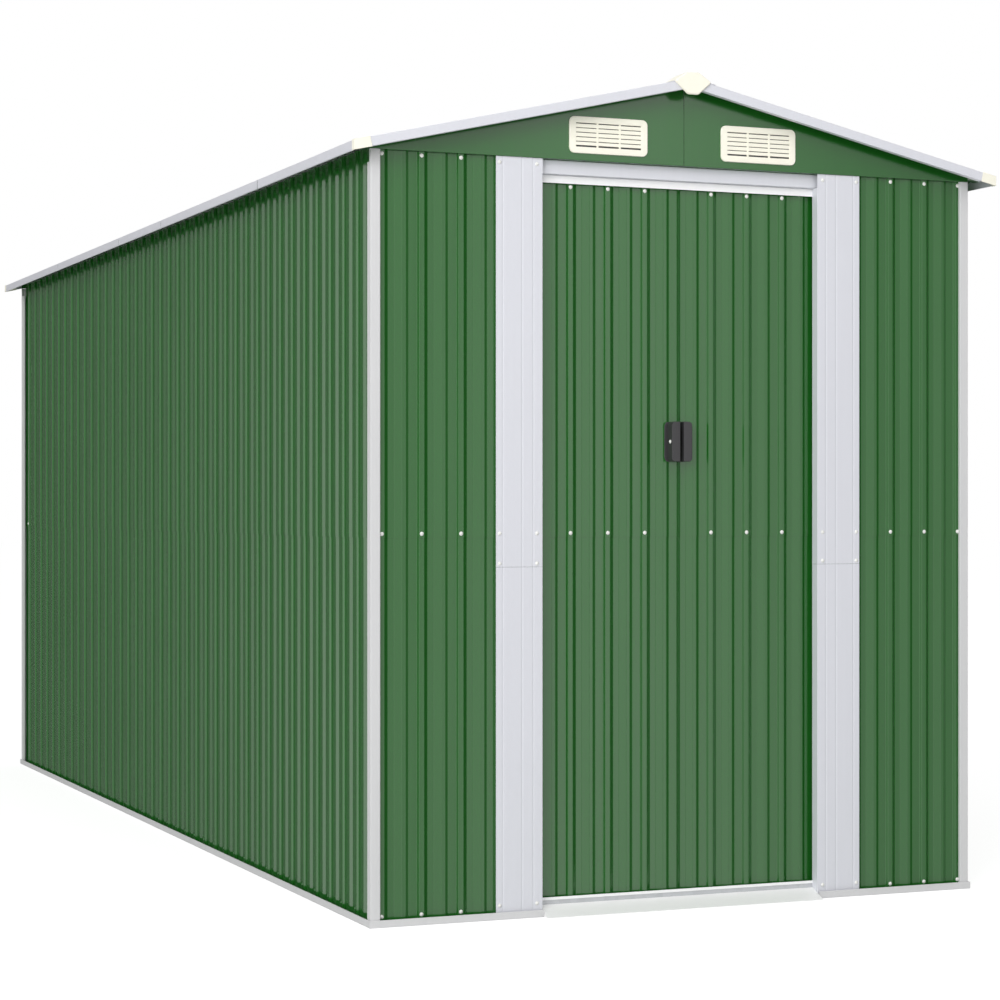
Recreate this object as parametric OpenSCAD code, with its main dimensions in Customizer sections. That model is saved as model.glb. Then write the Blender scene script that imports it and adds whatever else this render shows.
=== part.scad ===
// Ridge-roofed storage shed of ribbed sheet steel on a light folded frame,
// with a pair of sliding doors in one gable end.
// X runs along the front, Y from front to back, Z up.
// The origin is the middle of the base, on the ground.

/* [Building] */
// Width over the corner posts
body_w = 1800; // [1500:10:2400]
// Depth over the corner posts
body_d = 4304; // [2200:2:6000]
// Height of the front and back wall panels
wall_h = 2000; // [1850:5:2400]
// Slope of the roof in degrees
roof_pitch = 12.7; // [9:0.1:18]
// Roof overhang past the side walls
side_overhang = 60; // [50:1:110]
// Roof overhang past the front and back walls
end_overhang = 48; // [40:1:100]

/* [Ribbed sheet] */
// Thickness of the sheet steel
sheet_t = 1; // [0.6:0.1:1.4]
// Distance from one tall rib to the next
rib_pitch = 110; // [90:1:130]
// Height of a tall rib
tall_rib_h = 10; // [6:0.5:12]
// Width of a tall rib halfway up its sides
tall_rib_w = 21; // [16:0.5:26]
// Height of the low rib between two tall ones
low_rib_h = 5; // [3:0.5:6]
// Distance from a tall rib to the steep edge of the next low one
low_rib_edge = 68.5; // [60:0.5:70]
// Sideways run of a low rib's gentle side
low_rib_ramp = 36; // [24:1:42]
// Distance of a side wall's first tall rib behind the front face
side_first_rib = 43.7; // [40:0.1:60]
// Sideways run of a rib's flank for each unit of height
flank_run = 1.05; // [0.5:0.05:1.2]
// Height of the seam where the upper sheet laps the lower one
seam_z = 1000; // [800:5:1200]
// Overlap of the two sheets
seam_lap = 22; // [15:1:40]

/* [Frame] */
// Thickness of folded frame members
fold_t = 1.5; // [1:0.1:2]
// Width of each face of a corner post
post_w = 27; // [24:1:45]
// Distance of the rib crests behind the post faces
sheet_set_back = 9; // [6:0.5:14]
// Height cut off a post's side face under the eave
post_notch_h = 33; // [10:1:60]
// Height of the base rail's outer face
base_rail_h = 19.5; // [15:0.5:30]
// Distance of the base rail in front of the posts
base_rail_proud = 4.5; // [3:0.5:8]
// Reach of the base rail under the wall
base_rail_reach = 26; // [22:1:32]
// Height of the rails at the wall tops
top_rail_h = 38; // [25:1:60]
// Depth of the wall rails
wall_rail_d = 20; // [12:1:30]
// Height of the rail halfway up the walls
mid_rail_h = 40; // [25:1:60]
// Length of the ridge beam's side flanges
beam_flange = 40; // [25:1:60]
// Depth of the ridge beam and the purlins
beam_d = 28; // [20:1:45]

/* [Doorway] */
// Clear width between the jambs
doorway_w = 830; // [700:2:960]
// Width of a jamb panel
jamb_w = 134; // [125:1:140]
// Distance of the jamb crests in front of the wall crests
jamb_proud = 3; // [2.5:0.1:4]
// Height of the seam in a jamb
jamb_seam_z = 923; // [800:1:1100]
// Height of the ramp where it meets the track
ramp_h = 27; // [20:1:32]
// Reach of the ramp in front of the posts
ramp_reach = 28; // [10:1:38]

/* [Doors] */
// Distance of the doors' rib crests behind the post faces
door_set_back = 41; // [41:0.5:48]
// Height of the doors' lower edge
door_bottom = 38; // [36:1:50]
// Overlap of a closed door behind its jamb
door_overlap = 25; // [15:1:40]
// Gap between the two closed doors
door_gap = 5; // [5:0.5:10]
// Depth of the channels behind a door sheet
door_frame_d = 15; // [10:1:20]
// Width of the channels behind a door sheet
door_frame_w = 28; // [20:1:40]
// Height of a handle
handle_h = 108; // [80:1:160]
// Width of a handle's grip
grip_w = 26; // [20:1:30]
// Reach of a grip in front of the door's crests
grip_reach = 30; // [20:1:31]
// Width of the handle's screw flange
handle_flange = 10; // [8:1:14]
// Height of the middle of a handle
handle_z = 1257; // [900:1:1500]
// Running clearance of a moving door
running_gap = 5.4; // [5:0.1:8]

/* [Roof] */
// Thickness of the roof trims
trim_t = 1.2; // [0.8:0.1:1.6]
// Height of the trim faces
trim_h = 26; // [24:1:45]
// Width of the trims' upper flange
trim_flange = 30; // [20:1:45]
// Width of the trims' lower flange
trim_lip = 15; // [8:1:25]
// Half width of the ridge cap
ridge_cap_half = 70; // [62:1:120]
// Half width of the cap on the ridge's end
end_cap_half = 52; // [40:1:60]
// Half width of that cap's foot
end_cap_foot = 15.6; // [10:0.1:30]
// Distance of that cap's foot under the ridge
end_cap_h = 45; // [42:1:80]
// Rise of that cap over the ridge
end_cap_rise = 15; // [8:0.5:25]
// Half width of that cap's flat top
end_cap_crown = 17; // [8:1:30]
// Distance of that cap in front of the rakes
end_cap_proud = 6; // [2:0.5:12]
// Length of the end cap along the ridge
end_cap_len = 68; // [40:1:120]
// Thickness of the moulded caps
cap_t = 2; // [1.5:0.1:3]
// Length of a corner cap along the gable
corner_cap_gable = 42; // [34:1:60]
// Length of a corner cap along the eave
corner_cap_eave = 20; // [12:1:40]

/* [Vents] */
// Width of a vent
vent_w = 230; // [150:1:300]
// Height of a vent
vent_h = 98; // [60:1:105]
// Thickness of a vent
vent_t = 5; // [3:0.5:8]
// Corner radius of a vent
vent_r = 15; // [5:1:25]
// Distance of a vent's middle from the ridge line
vent_x = 226; // [170:1:300]
// Height of a vent's lower edge over the gable's
vent_lift = 18.5; // [10:0.5:30]
// Columns of slots in a vent
vent_columns = 3; // [2:1:4]
// Rows of slots in a vent
vent_rows = 6; // [4:1:7]
// Height of a slot
vent_slot_h = 4; // [2:0.5:6]
// Margin beside the slots
vent_side_margin = 19; // [12:1:30]
// Margin over and under the slots
vent_end_margin = 17; // [10:1:25]
// Width of the bars between the columns
vent_bar = 5; // [3:0.5:12]

/* [Hidden] */
// Clearance between pieces that are seated on each other
fit = 0.3;
// Smoothness of rounded corners
$fn = 48;

// Depths behind the outer face of the corner posts
lap_step = sheet_t + fit;
wall_back = sheet_set_back + tall_rib_h + sheet_t + lap_step;
rail_front = wall_back + fit;
rail_back = rail_front + wall_rail_d;
gable_front = 2;
door_sheet_back = door_set_back + tall_rib_h + sheet_t + lap_step;
door_frame_front = door_sheet_back + fit;
door_frame_back = door_frame_front + door_frame_d;
track_front = door_set_back - running_gap - trim_t;
track_back = door_frame_back + running_gap;
jamb_set_back = sheet_set_back - jamb_proud;

// Heights of the door's runners and of what it runs between
track_lip = 7;
track_lip_z = door_bottom + track_lip;
track_web_z = door_bottom - running_gap - fit;
door_top_room = 8;
lintel_z = wall_h - top_rail_h;
top_track_h = 21;
door_top = lintel_z - fold_t - door_top_room;
glider_len = 40;
glider_d = 12;

// Half extents of the roof and of the doorway
roof_x = body_w / 2 + side_overhang;
roof_y = body_d / 2 + end_overhang;
doorway_half = doorway_w / 2;
jamb_edge = doorway_half + jamb_w;
jamb_rib_inset = 16.4;
jamb_edge_inset = 10.7;
jamb_outer_rib = jamb_edge - jamb_edge_inset;
door_edge = doorway_half + door_overlap;
meeting_rib_inset = 12;
door_first_rib = door_gap / 2 + rib_pitch - meeting_rib_inset;
handle_inset = 2.5;
handle_edge = door_gap / 2 + handle_inset;
handle_plate_t = 3;
grip_r = 12;

// Roof plane: the upper face of the trims, as a height over each X
rake_gap = 1.2;
function roof_top(x) = wall_h + rake_gap + trim_h + tan(roof_pitch) * (body_w / 2 - abs(x));
sheet_drop = trim_t + fit + tall_rib_h;
function roof_under(x) = roof_top(x) - (sheet_drop + sheet_t) / cos(roof_pitch);
function roof_seat(x) = roof_under(x) - fit;
ridge_gap = 10;
trim_fall = trim_h * cos(roof_pitch);

// A point u along the slope from the ridge and n above the trims' upper face
function slope_point(u, n) = [
    u * cos(roof_pitch) + n * sin(roof_pitch),
    roof_top(0) - u * sin(roof_pitch) + n * cos(roof_pitch)
];

// Colours
green = [0.28, 0.44, 0.29];
white = [0.87, 0.88, 0.92];
grey = [0.83, 0.83, 0.83];
zinc = [0.70, 0.72, 0.73];
cream = [1.00, 0.99, 0.91];
black = [0.16, 0.16, 0.17];

// Corners of one rib: a flat crest between two sloping flanks
function rib(middle, width, height) = let (run = height * flank_run) [
    [middle - (width + run) / 2, 0],
    [middle - (width - run) / 2, height],
    [middle + (width - run) / 2, height],
    [middle + (width + run) / 2, 0]
];

// Corners of a low rib: a gentle rise that ends in a steep edge
function low_rib(edge) = let (run = low_rib_h * flank_run) [
    [edge - low_rib_ramp, 0],
    [edge - run / 2, low_rib_h],
    [edge + run / 2, 0]
];

// Tall ribs at every pitch from a given one, each followed by a low rib
function rib_row(first, from, to) = [
    for (k = [floor((from - first) / rib_pitch) - 1 : ceil((to - first) / rib_pitch) + 1])
        each concat(
            rib(first + k * rib_pitch, tall_rib_w, tall_rib_h),
            low_rib(first + k * rib_pitch + low_rib_edge))
];

// The part of a rib row between two edges
function cut_row(row, from, to) = concat(
    [[from, lookup(from, row)]],
    [for (p = row) if (p[0] > from && p[0] < to) p],
    [[to, lookup(to, row)]]
);

// Closed outline of a sheet that follows a line of points
function sheet_outline(line) = concat(
    line, [for (i = [len(line) - 1 : -1 : 0]) line[i] - [0, sheet_t]]
);

// Ribbed sheet from edge to edge, with the low side's outer face at Y = 0
module ribbed(first, from, to) {
    polygon(sheet_outline(cut_row(rib_row(first, from, to), from, to)));
}

// Frames whose Y points out of a wall, from the face of the corner posts
module on_front() {
    translate([0, -body_d / 2, 0]) mirror([0, 1, 0]) children();
}

module on_back() {
    translate([0, body_d / 2, 0]) children();
}

module on_left() {
    rotate([0, 0, 90]) translate([0, body_w / 2, 0]) children();
}

module on_right() {
    mirror([1, 0, 0]) on_left() children();
}

// A section drawn as (Y, Z) and carried along X
module along_x(from, to) {
    translate([from, 0, 0]) rotate([90, 0, 90]) linear_extrude(to - from) children();
}

// A section drawn as (X, Z) and carried along Y
module along_y(from, to) {
    translate([0, to, 0]) rotate([90, 0, 0]) linear_extrude(to - from) children();
}

// A flat strip of a section, between two depths behind the posts and two heights
module strip(depth_a, depth_b, z_a, z_b) {
    translate([-depth_b, z_a]) square([depth_b - depth_a, z_b - z_a]);
}

// The frame of one roof slope: X down the slope, Z out of the roof
module on_right_slope() {
    translate([0, 0, roof_top(0)]) rotate([0, roof_pitch, 0]) children();
}

module both_sides() {
    children();
    mirror([1, 0, 0]) children();
}

module both_ends() {
    children();
    mirror([0, 1, 0]) children();
}

// Base rails
base_in_x = body_w / 2 - base_rail_reach - fit;

module base_face(from, to) {
    along_x(from, to) strip(-base_rail_proud, -base_rail_proud + fold_t, 0, base_rail_h);
}

module base_web(from, to) {
    along_x(from, to) strip(-base_rail_proud, base_rail_reach, 0, fold_t);
}

module base_rail_half() {
    start = doorway_half + fit;
    base_face(start, body_w / 2 + base_rail_proud);
    base_web(start, base_in_x);
}

module base_rail_front() {
    color(grey) on_front() both_sides() base_rail_half();
}

module base_rail_back() {
    color(grey) on_back() {
        base_face(-body_w / 2 - base_rail_proud, body_w / 2 + base_rail_proud);
        base_web(-base_in_x, base_in_x);
    }
}

module base_rail_side() {
    end = body_d / 2 + base_rail_proud - fold_t;
    base_face(-end, end);
    base_web(-end, end);
}

module base_rail_left() {
    color(grey) on_left() base_rail_side();
}

module base_rail_right() {
    color(grey) on_right() base_rail_side();
}

// Corner posts: a folded angle with its edges turned in to the sheets' crests
module corner_post() {
    turn_in = sheet_set_back - fit;
    notch_from = turn_in + fold_t;
    difference() {
        translate([-body_w / 2, -body_d / 2, fold_t])
            linear_extrude(wall_h - fold_t)
                polygon([
                    [0, 0], [post_w, 0], [post_w, turn_in], [post_w - fold_t, turn_in],
                    [post_w - fold_t, fold_t], [fold_t, fold_t], [fold_t, post_w - fold_t],
                    [turn_in, post_w - fold_t], [turn_in, post_w], [0, post_w]
                ]);
        translate([-body_w / 2 - fit, -body_d / 2 + notch_from, wall_h - post_notch_h])
            cube([turn_in + 2 * fit, post_w, post_notch_h + fit]);
    }
}

module corner_post_front_left() {
    color(grey) corner_post();
}

module corner_post_front_right() {
    color(grey) mirror([1, 0, 0]) corner_post();
}

module corner_post_back_left() {
    color(grey) mirror([0, 1, 0]) corner_post();
}

module corner_post_back_right() {
    color(grey) mirror([1, 0, 0]) mirror([0, 1, 0]) corner_post();
}

// Wall skins: a lower sheet, and an upper one that laps over it
module wall_skin(first, from, to, top) {
    low_y = -sheet_set_back - tall_rib_h;
    sheet_foot = fold_t + fit;
    translate([0, low_y - lap_step, sheet_foot])
        linear_extrude(seam_z + seam_lap - sheet_foot) ribbed(first, from, to);
    translate([0, low_y, seam_z])
        linear_extrude(top - seam_z) ribbed(first, from, to);
}

wall_end_x = body_w / 2 - rail_front;
side_end_y = body_d / 2 - sheet_set_back;
side_top = roof_seat(body_w / 2) - fit;

inner_lap = 16;
front_inner_x = jamb_outer_rib - inner_lap;

module front_left_wall() {
    color(green) on_front()
        wall_skin(-jamb_outer_rib, -wall_end_x, -front_inner_x, wall_h);
}

module front_right_wall() {
    color(green) on_front()
        wall_skin(jamb_outer_rib, front_inner_x, wall_end_x, wall_h);
}

module side_skin() {
    wall_skin(side_first_rib - body_d / 2, -side_end_y, side_end_y, side_top);
}

module left_wall() {
    color(green) on_left() side_skin();
}

module right_wall() {
    color(green) on_right() side_skin();
}

module back_wall() {
    color(green) on_back() wall_skin(0, -wall_end_x, wall_end_x, wall_h);
}

// Jambs: ribbed strips beside the doorway, with a crest along both edges and a return
jamb_inner_rib = doorway_half + jamb_rib_inset;
jamb_inner = rib(jamb_inner_rib, tall_rib_w, tall_rib_h);
jamb_outer = rib(jamb_outer_rib, tall_rib_w, tall_rib_h);
jamb_row = concat(
    [[doorway_half, tall_rib_h], jamb_inner[2], jamb_inner[3]],
    low_rib(jamb_inner_rib + low_rib_edge),
    [jamb_outer[0], jamb_outer[1], [jamb_edge, tall_rib_h]]
);

module jamb_face() {
    polygon(sheet_outline(jamb_row));
}

module jamb_return() {
    return_in = track_front - fit - jamb_set_back - tall_rib_h;
    translate([doorway_half, -return_in]) square([sheet_t, return_in + tall_rib_h - sheet_t / 2]);
}

module jamb() {
    low_y = -jamb_set_back - tall_rib_h;
    foot = fold_t + fit;
    translate([0, low_y, foot]) linear_extrude(jamb_seam_z - fit - foot) {
        jamb_face();
        jamb_return();
    }
    translate([0, low_y, jamb_seam_z]) {
        linear_extrude(wall_h - jamb_seam_z) jamb_face();
        linear_extrude(lintel_z - jamb_seam_z) jamb_return();
    }
}

module left_jamb() {
    color(white) on_front() mirror([1, 0, 0]) jamb();
}

module right_jamb() {
    color(white) on_front() jamb();
}

// Header over the doorway, and the tracks that the doors run in
header_end = body_w / 2 - rail_back - fit;

module door_header() {
    color(white) on_front() along_x(-header_end, header_end) {
        strip(rail_front, rail_front + fold_t, lintel_z + fit, wall_h);
        strip(rail_front, track_back, wall_h - fold_t, wall_h);
        strip(rail_front, track_back, lintel_z + fit, lintel_z + fit + fold_t);
    }
}

module top_track() {
    lip_z = lintel_z - top_track_h;
    color(white) on_front() along_x(-header_end, header_end) {
        strip(track_front, track_front + trim_t, lip_z, lintel_z);
        strip(track_front, track_back, lintel_z - fold_t, lintel_z);
        strip(track_back - trim_t, track_back, lip_z, lintel_z);
    }
}

module bottom_track() {
    color(zinc) on_front() along_x(-header_end, header_end) {
        strip(track_front, track_front + trim_t, 0, track_lip_z);
        strip(track_front, track_back, track_web_z - fold_t, track_web_z);
        strip(track_back - trim_t, track_back, 0, track_lip_z);
    }
}

// Ramp: a plate folded down behind, from the track to the ground
module ramp() {
    top_back = track_front - fit;
    top_front = top_back - fold_t;
    slope_run = top_front + ramp_reach;
    foot = fold_t * slope_run / ramp_h;
    color(white) on_front() along_x(-doorway_half + fit, doorway_half - fit)
        polygon([
            [ramp_reach, 0], [-top_front, ramp_h], [-top_back, ramp_h], [-top_back, 0],
            [-top_front, 0], [-top_front, ramp_h - fold_t], [ramp_reach - foot, 0]
        ]);
}

// Rails at the wall tops; the side ones carry the roof
module side_top_rail() {
    web_back = rail_front + fold_t;
    end = body_d / 2 - rail_front;
    function seat(depth) = roof_seat(body_w / 2 - depth);
    along_x(-end, end)
        polygon([
            [-rail_front, wall_h - top_rail_h], [-rail_front, seat(rail_front)],
            [-rail_back, seat(rail_back)], [-rail_back, seat(rail_back) - fold_t],
            [-web_back, seat(web_back) - fold_t], [-web_back, wall_h - top_rail_h]
        ]);
}

// Channel with its web on the wall and its flanges inwards
module channel(z_a, z_b) {
    strip(rail_front, rail_front + fold_t, z_a, z_b);
    strip(rail_front, rail_back, z_a, z_a + fold_t);
    strip(rail_front, rail_back, z_b - fold_t, z_b);
}

module left_top_rail() {
    color(zinc) on_left() side_top_rail();
}

module right_top_rail() {
    color(zinc) on_right() side_top_rail();
}

module back_top_rail() {
    color(zinc) on_back() along_x(-header_end, header_end) channel(lintel_z, wall_h);
}

mid_rail_z = seam_z + seam_lap / 2;

module mid_rail(end) {
    along_x(-end, end) channel(mid_rail_z - mid_rail_h / 2, mid_rail_z + mid_rail_h / 2);
}

module left_mid_rail() {
    color(zinc) on_left() mid_rail(body_d / 2 - rail_front);
}

module right_mid_rail() {
    color(zinc) on_right() mid_rail(body_d / 2 - rail_front);
}

module back_mid_rail() {
    color(zinc) on_back() mid_rail(header_end);
}

// Gables: two flat halves that meet under the ridge, folded in over the wall
module gable_half() {
    foot = wall_h + fit;
    seam = fit / 2;
    along_y(-gable_front - sheet_t, -gable_front)
        polygon([
            [seam, foot], [body_w / 2, foot],
            [body_w / 2, roof_seat(body_w / 2)], [seam, roof_seat(seam)]
        ]);
    along_x(seam, header_end) strip(gable_front, rail_back, foot, foot + sheet_t);
}

module front_gable() {
    color(green) on_front() both_sides() gable_half();
}

module back_gable() {
    color(green) on_back() both_sides() gable_half();
}

// Vents: moulded plates with rows of slots, screwed on to the gables
module vent_plate() {
    offset_x = vent_w / 2 - vent_r;
    offset_z = vent_h / 2 - vent_r;
    union() {
        square([vent_w, 2 * offset_z], center = true);
        square([2 * offset_x, vent_h], center = true);
        for (x = [-offset_x, offset_x], z = [-offset_z, offset_z])
            translate([x, z]) circle(vent_r);
    }
}

module vent() {
    column_pitch = (vent_w - 2 * vent_side_margin + vent_bar) / vent_columns;
    row_pitch = (vent_h - 2 * vent_end_margin - vent_slot_h) / (vent_rows - 1);
    slot = [column_pitch - vent_bar, vent_slot_h];
    difference() {
        vent_plate();
        for (c = [0 : vent_columns - 1], r = [0 : vent_rows - 1])
            translate([
                (c - (vent_columns - 1) / 2) * column_pitch,
                (r - (vent_rows - 1) / 2) * row_pitch
            ]) square(slot, center = true);
    }
}

module vent_pair() {
    vent_z = wall_h + vent_lift + vent_h / 2;
    along_y(-gable_front, vent_t - gable_front)
        for (x = [-vent_x, vent_x]) translate([x, vent_z]) vent();
}

module front_vents() {
    color(cream) on_front() vent_pair();
}

module back_vents() {
    color(cream) on_back() vent_pair();
}

// Roof beams, between the gables
beam_end = body_d / 2 - gable_front - sheet_t - fit;

module ridge_beam() {
    inner = beam_flange - fold_t;
    skirt_z = roof_seat(beam_flange) - beam_d;
    half = [
        [beam_flange, roof_seat(beam_flange)], [beam_flange, skirt_z],
        [inner, skirt_z], [inner, roof_seat(inner) - fold_t]
    ];
    mirrored = [for (i = [len(half) - 1 : -1 : 0]) [-half[i][0], half[i][1]]];
    color(zinc) along_y(-beam_end, beam_end)
        polygon(concat(
            [[0, roof_seat(0)]], half, [[0, roof_seat(0) - fold_t]], mirrored));
}

module purlin() {
    seat = -(sheet_drop + sheet_t + fit);
    middle = body_w / 2 / cos(roof_pitch) / 2;
    a = middle - beam_flange / 2;
    b = middle + beam_flange / 2;
    on_right_slope() along_y(-beam_end, beam_end)
        polygon([
            [a, seat], [b, seat], [b, seat - beam_d], [b - fold_t, seat - beam_d],
            [b - fold_t, seat - fold_t], [a + fold_t, seat - fold_t],
            [a + fold_t, seat - beam_d], [a, seat - beam_d]
        ]);
}

module left_purlin() {
    color(zinc) mirror([1, 0, 0]) purlin();
}

module right_purlin() {
    color(zinc) purlin();
}

// Roof sheets, with the ribs running down the slope
module roof_sheet() {
    edge_room = 4;
    end = roof_y - edge_room;
    eave = (roof_x - edge_room) / cos(roof_pitch);
    on_right_slope() translate([0, 0, -sheet_drop])
        along_x(ridge_gap, eave) ribbed(0, -end, end);
}

module roof_left() {
    color(green) mirror([1, 0, 0]) roof_sheet();
}

module roof_right() {
    color(green) roof_sheet();
}

// Eave trims: a face with a flange over the sheets and a lip under them
module eave_trim() {
    drop = trim_t / cos(roof_pitch);
    end = roof_y - corner_cap_eave - fit;
    top = roof_top(roof_x);
    foot = top - trim_h;
    back = roof_x - trim_flange;
    along_y(-end, end)
        polygon([
            [roof_x, top], [roof_x, foot], [roof_x - trim_lip, foot],
            [roof_x - trim_lip, foot + trim_t], [roof_x - trim_t, foot + trim_t],
            [roof_x - trim_t, roof_top(roof_x - trim_t) - drop],
            [back, roof_top(back) - drop], [back, roof_top(back)]
        ]);
}

module eave_trim_left() {
    color(white) mirror([1, 0, 0]) eave_trim();
}

module eave_trim_right() {
    color(white) eave_trim();
}

// Rake trims along the gables, from the ridge to the corner caps
corner_cap_u = (roof_x - corner_cap_gable) / cos(roof_pitch);

module rake_trim() {
    end = corner_cap_u - fit;
    foot = -trim_fall;
    face = -roof_y;
    on_right_slope() along_x(ridge_gap, end)
        polygon([
            [face, 0], [face, foot], [face + trim_lip, foot],
            [face + trim_lip, foot + trim_t], [face + trim_t, foot + trim_t],
            [face + trim_t, -trim_t], [face + trim_flange, -trim_t],
            [face + trim_flange, 0]
        ]);
}

module rake_trim_front() {
    color(white) both_sides() rake_trim();
}

module rake_trim_back() {
    color(white) mirror([0, 1, 0]) both_sides() rake_trim();
}

// Ridge cap over the gap between the two slopes
function over_roof(x, n) = [x, roof_top(x) + n / cos(roof_pitch)];
function ridge_band(half, low, high) = [
    over_roof(-half, low), over_roof(0, low), over_roof(half, low),
    over_roof(half, high), over_roof(0, high), over_roof(-half, high)
];
ridge_cap_top = fit + trim_t;

module ridge_cap() {
    color(white) along_y(-roof_y, roof_y)
        polygon(ridge_band(ridge_cap_half, fit, ridge_cap_top));
}

// Moulded caps on the ends of the ridge: a shield in front of a crowned saddle
module ridge_end_cap() {
    saddle_low = ridge_cap_top + fit;
    saddle_high = saddle_low + cap_t;
    front = -roof_y - fit - end_cap_proud;
    foot = roof_top(0) - end_cap_h;
    crown_z = roof_top(0) + end_cap_rise;
    crown = [
        over_roof(end_cap_half, saddle_high), [end_cap_crown, crown_z],
        [-end_cap_crown, crown_z], over_roof(-end_cap_half, saddle_high)
    ];
    along_y(front, -roof_y - fit)
        polygon(concat(crown, [
            over_roof(-end_cap_half, -trim_t), [-end_cap_foot, foot],
            [end_cap_foot, foot], over_roof(end_cap_half, -trim_t)
        ]));
    along_y(front, front + end_cap_len)
        polygon(concat(crown, [
            over_roof(-end_cap_half, saddle_low), over_roof(0, saddle_low),
            over_roof(end_cap_half, saddle_low)
        ]));
}

module ridge_end_caps() {
    color(cream) both_ends() ridge_end_cap();
}

// Moulded caps over the corners of the roof, open to the inside and below
module corner_cap() {
    proud = cap_t / 2;
    inner = corner_cap_u - corner_cap_gable;
    low = trim_fall + trim_h;
    top = roof_top(roof_x);
    skin = roof_x - proud;
    difference() {
        along_y(-roof_y - proud, -roof_y + corner_cap_eave)
            polygon([
                slope_point(corner_cap_u, proud), over_roof(roof_x + proud, proud),
                [roof_x + proud, top - trim_h - proud],
                slope_point(corner_cap_u, -trim_fall - proud)
            ]);
        along_y(-roof_y + proud, -roof_y + 2 * corner_cap_eave)
            polygon([
                slope_point(inner, -trim_t), over_roof(skin, -trim_t),
                [skin, top - low], slope_point(inner, -low)
            ]);
    }
}

module corner_caps() {
    color(cream) both_ends() both_sides() corner_cap();
}

// Doors: two lapped sheets on a frame of channels, with a handle and gliders
module door_sheet(first, from, to) {
    low_y = -door_set_back - tall_rib_h;
    translate([0, low_y - lap_step, door_bottom])
        linear_extrude(seam_z + seam_lap - door_bottom) ribbed(first, from, to);
    translate([0, low_y, seam_z])
        linear_extrude(door_top - seam_z) ribbed(first, from, to);
}

module door_channel(size) {
    difference() {
        cube(size);
        translate([fold_t, -fit, fold_t])
            cube([size[0] - 2 * fold_t, size[1] - fold_t + fit, size[2] - 2 * fold_t]);
    }
}

module door_frame() {
    tall = door_top - door_bottom;
    wide = door_edge - door_gap / 2;
    rail = wide - 2 * door_frame_w - 2 * fit;
    middle = mid_rail_z - door_bottom - door_frame_w / 2;
    translate([door_gap / 2, -door_frame_back, door_bottom]) {
        for (x = [0, wide - door_frame_w])
            translate([x, 0, 0]) door_channel([door_frame_w, door_frame_d, tall]);
        for (z = [0, middle, tall - door_frame_w])
            translate([door_frame_w + fit, 0, z])
                door_channel([rail, door_frame_d, door_frame_w]);
    }
}

// Face of a grip, square beside the meeting doors and rounded on the other side
module grip_face() {
    foot = handle_z - handle_h / 2;
    translate([handle_edge, foot]) square([grip_w - grip_r, handle_h]);
    translate([handle_edge, foot + grip_r]) square([grip_w, handle_h - 2 * grip_r]);
    for (z = [foot + grip_r, foot + handle_h - grip_r])
        translate([handle_edge + grip_w - grip_r, z]) circle(grip_r);
}

module door_handle() {
    valley = door_set_back + tall_rib_h;
    plate_back = valley - low_rib_h - fit;
    plate_front = plate_back - handle_plate_t;
    foot = handle_z - handle_h / 2;
    last_rib = door_first_rib - rib_pitch;
    pad_start = last_rib + (tall_rib_w + tall_rib_h * flank_run) / 2 + fit;
    pad_end = last_rib + low_rib_edge - low_rib_ramp - fit;
    along_y(-plate_front, -door_set_back + grip_reach) grip_face();
    translate([handle_edge, -plate_back, foot])
        cube([grip_w + handle_flange, handle_plate_t, handle_h]);
    translate([pad_start, -valley + fit, foot])
        cube([pad_end - pad_start, valley - fit - plate_back, handle_h]);
}

module door_gliders() {
    middle = (door_frame_front + door_frame_back) / 2;
    ends = [door_gap / 2 + glider_len, door_edge - 2 * glider_len];
    for (x = ends) {
        translate([x, -middle - glider_d / 2, track_web_z + fit])
            cube([glider_len, glider_d, door_bottom - fit - track_web_z]);
        translate([x, -middle - glider_d / 2, door_top])
            cube([glider_len, glider_d, lintel_z - fold_t - fit - door_top]);
    }
}

module left_door_sheet() {
    color(green) on_front() door_sheet(-door_first_rib, -door_edge, -door_gap / 2);
}

module left_door_frame() {
    color(zinc) on_front() mirror([1, 0, 0]) door_frame();
}

module left_door_handle() {
    color(black) on_front() mirror([1, 0, 0]) door_handle();
}

module left_door_gliders() {
    color(black) on_front() mirror([1, 0, 0]) door_gliders();
}

module right_door_sheet() {
    color(green) on_front() door_sheet(door_first_rib, door_gap / 2, door_edge);
}

module right_door_frame() {
    color(zinc) on_front() door_frame();
}

module right_door_handle() {
    color(black) on_front() door_handle();
}

module right_door_gliders() {
    color(black) on_front() door_gliders();
}

base_rail_front();
base_rail_left();
base_rail_right();
base_rail_back();
corner_post_front_left();
corner_post_front_right();
corner_post_back_left();
corner_post_back_right();
front_left_wall();
front_right_wall();
left_wall();
right_wall();
back_wall();
left_jamb();
right_jamb();
door_header();
top_track();
bottom_track();
ramp();
left_top_rail();
right_top_rail();
back_top_rail();
left_mid_rail();
right_mid_rail();
back_mid_rail();
front_gable();
back_gable();
front_vents();
back_vents();
ridge_beam();
left_purlin();
right_purlin();
roof_left();
roof_right();
eave_trim_left();
eave_trim_right();
rake_trim_front();
rake_trim_back();
ridge_cap();
ridge_end_caps();
corner_caps();
left_door_sheet();
left_door_frame();
left_door_handle();
left_door_gliders();
right_door_sheet();
right_door_frame();
right_door_handle();
right_door_gliders();
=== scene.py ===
import math

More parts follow.
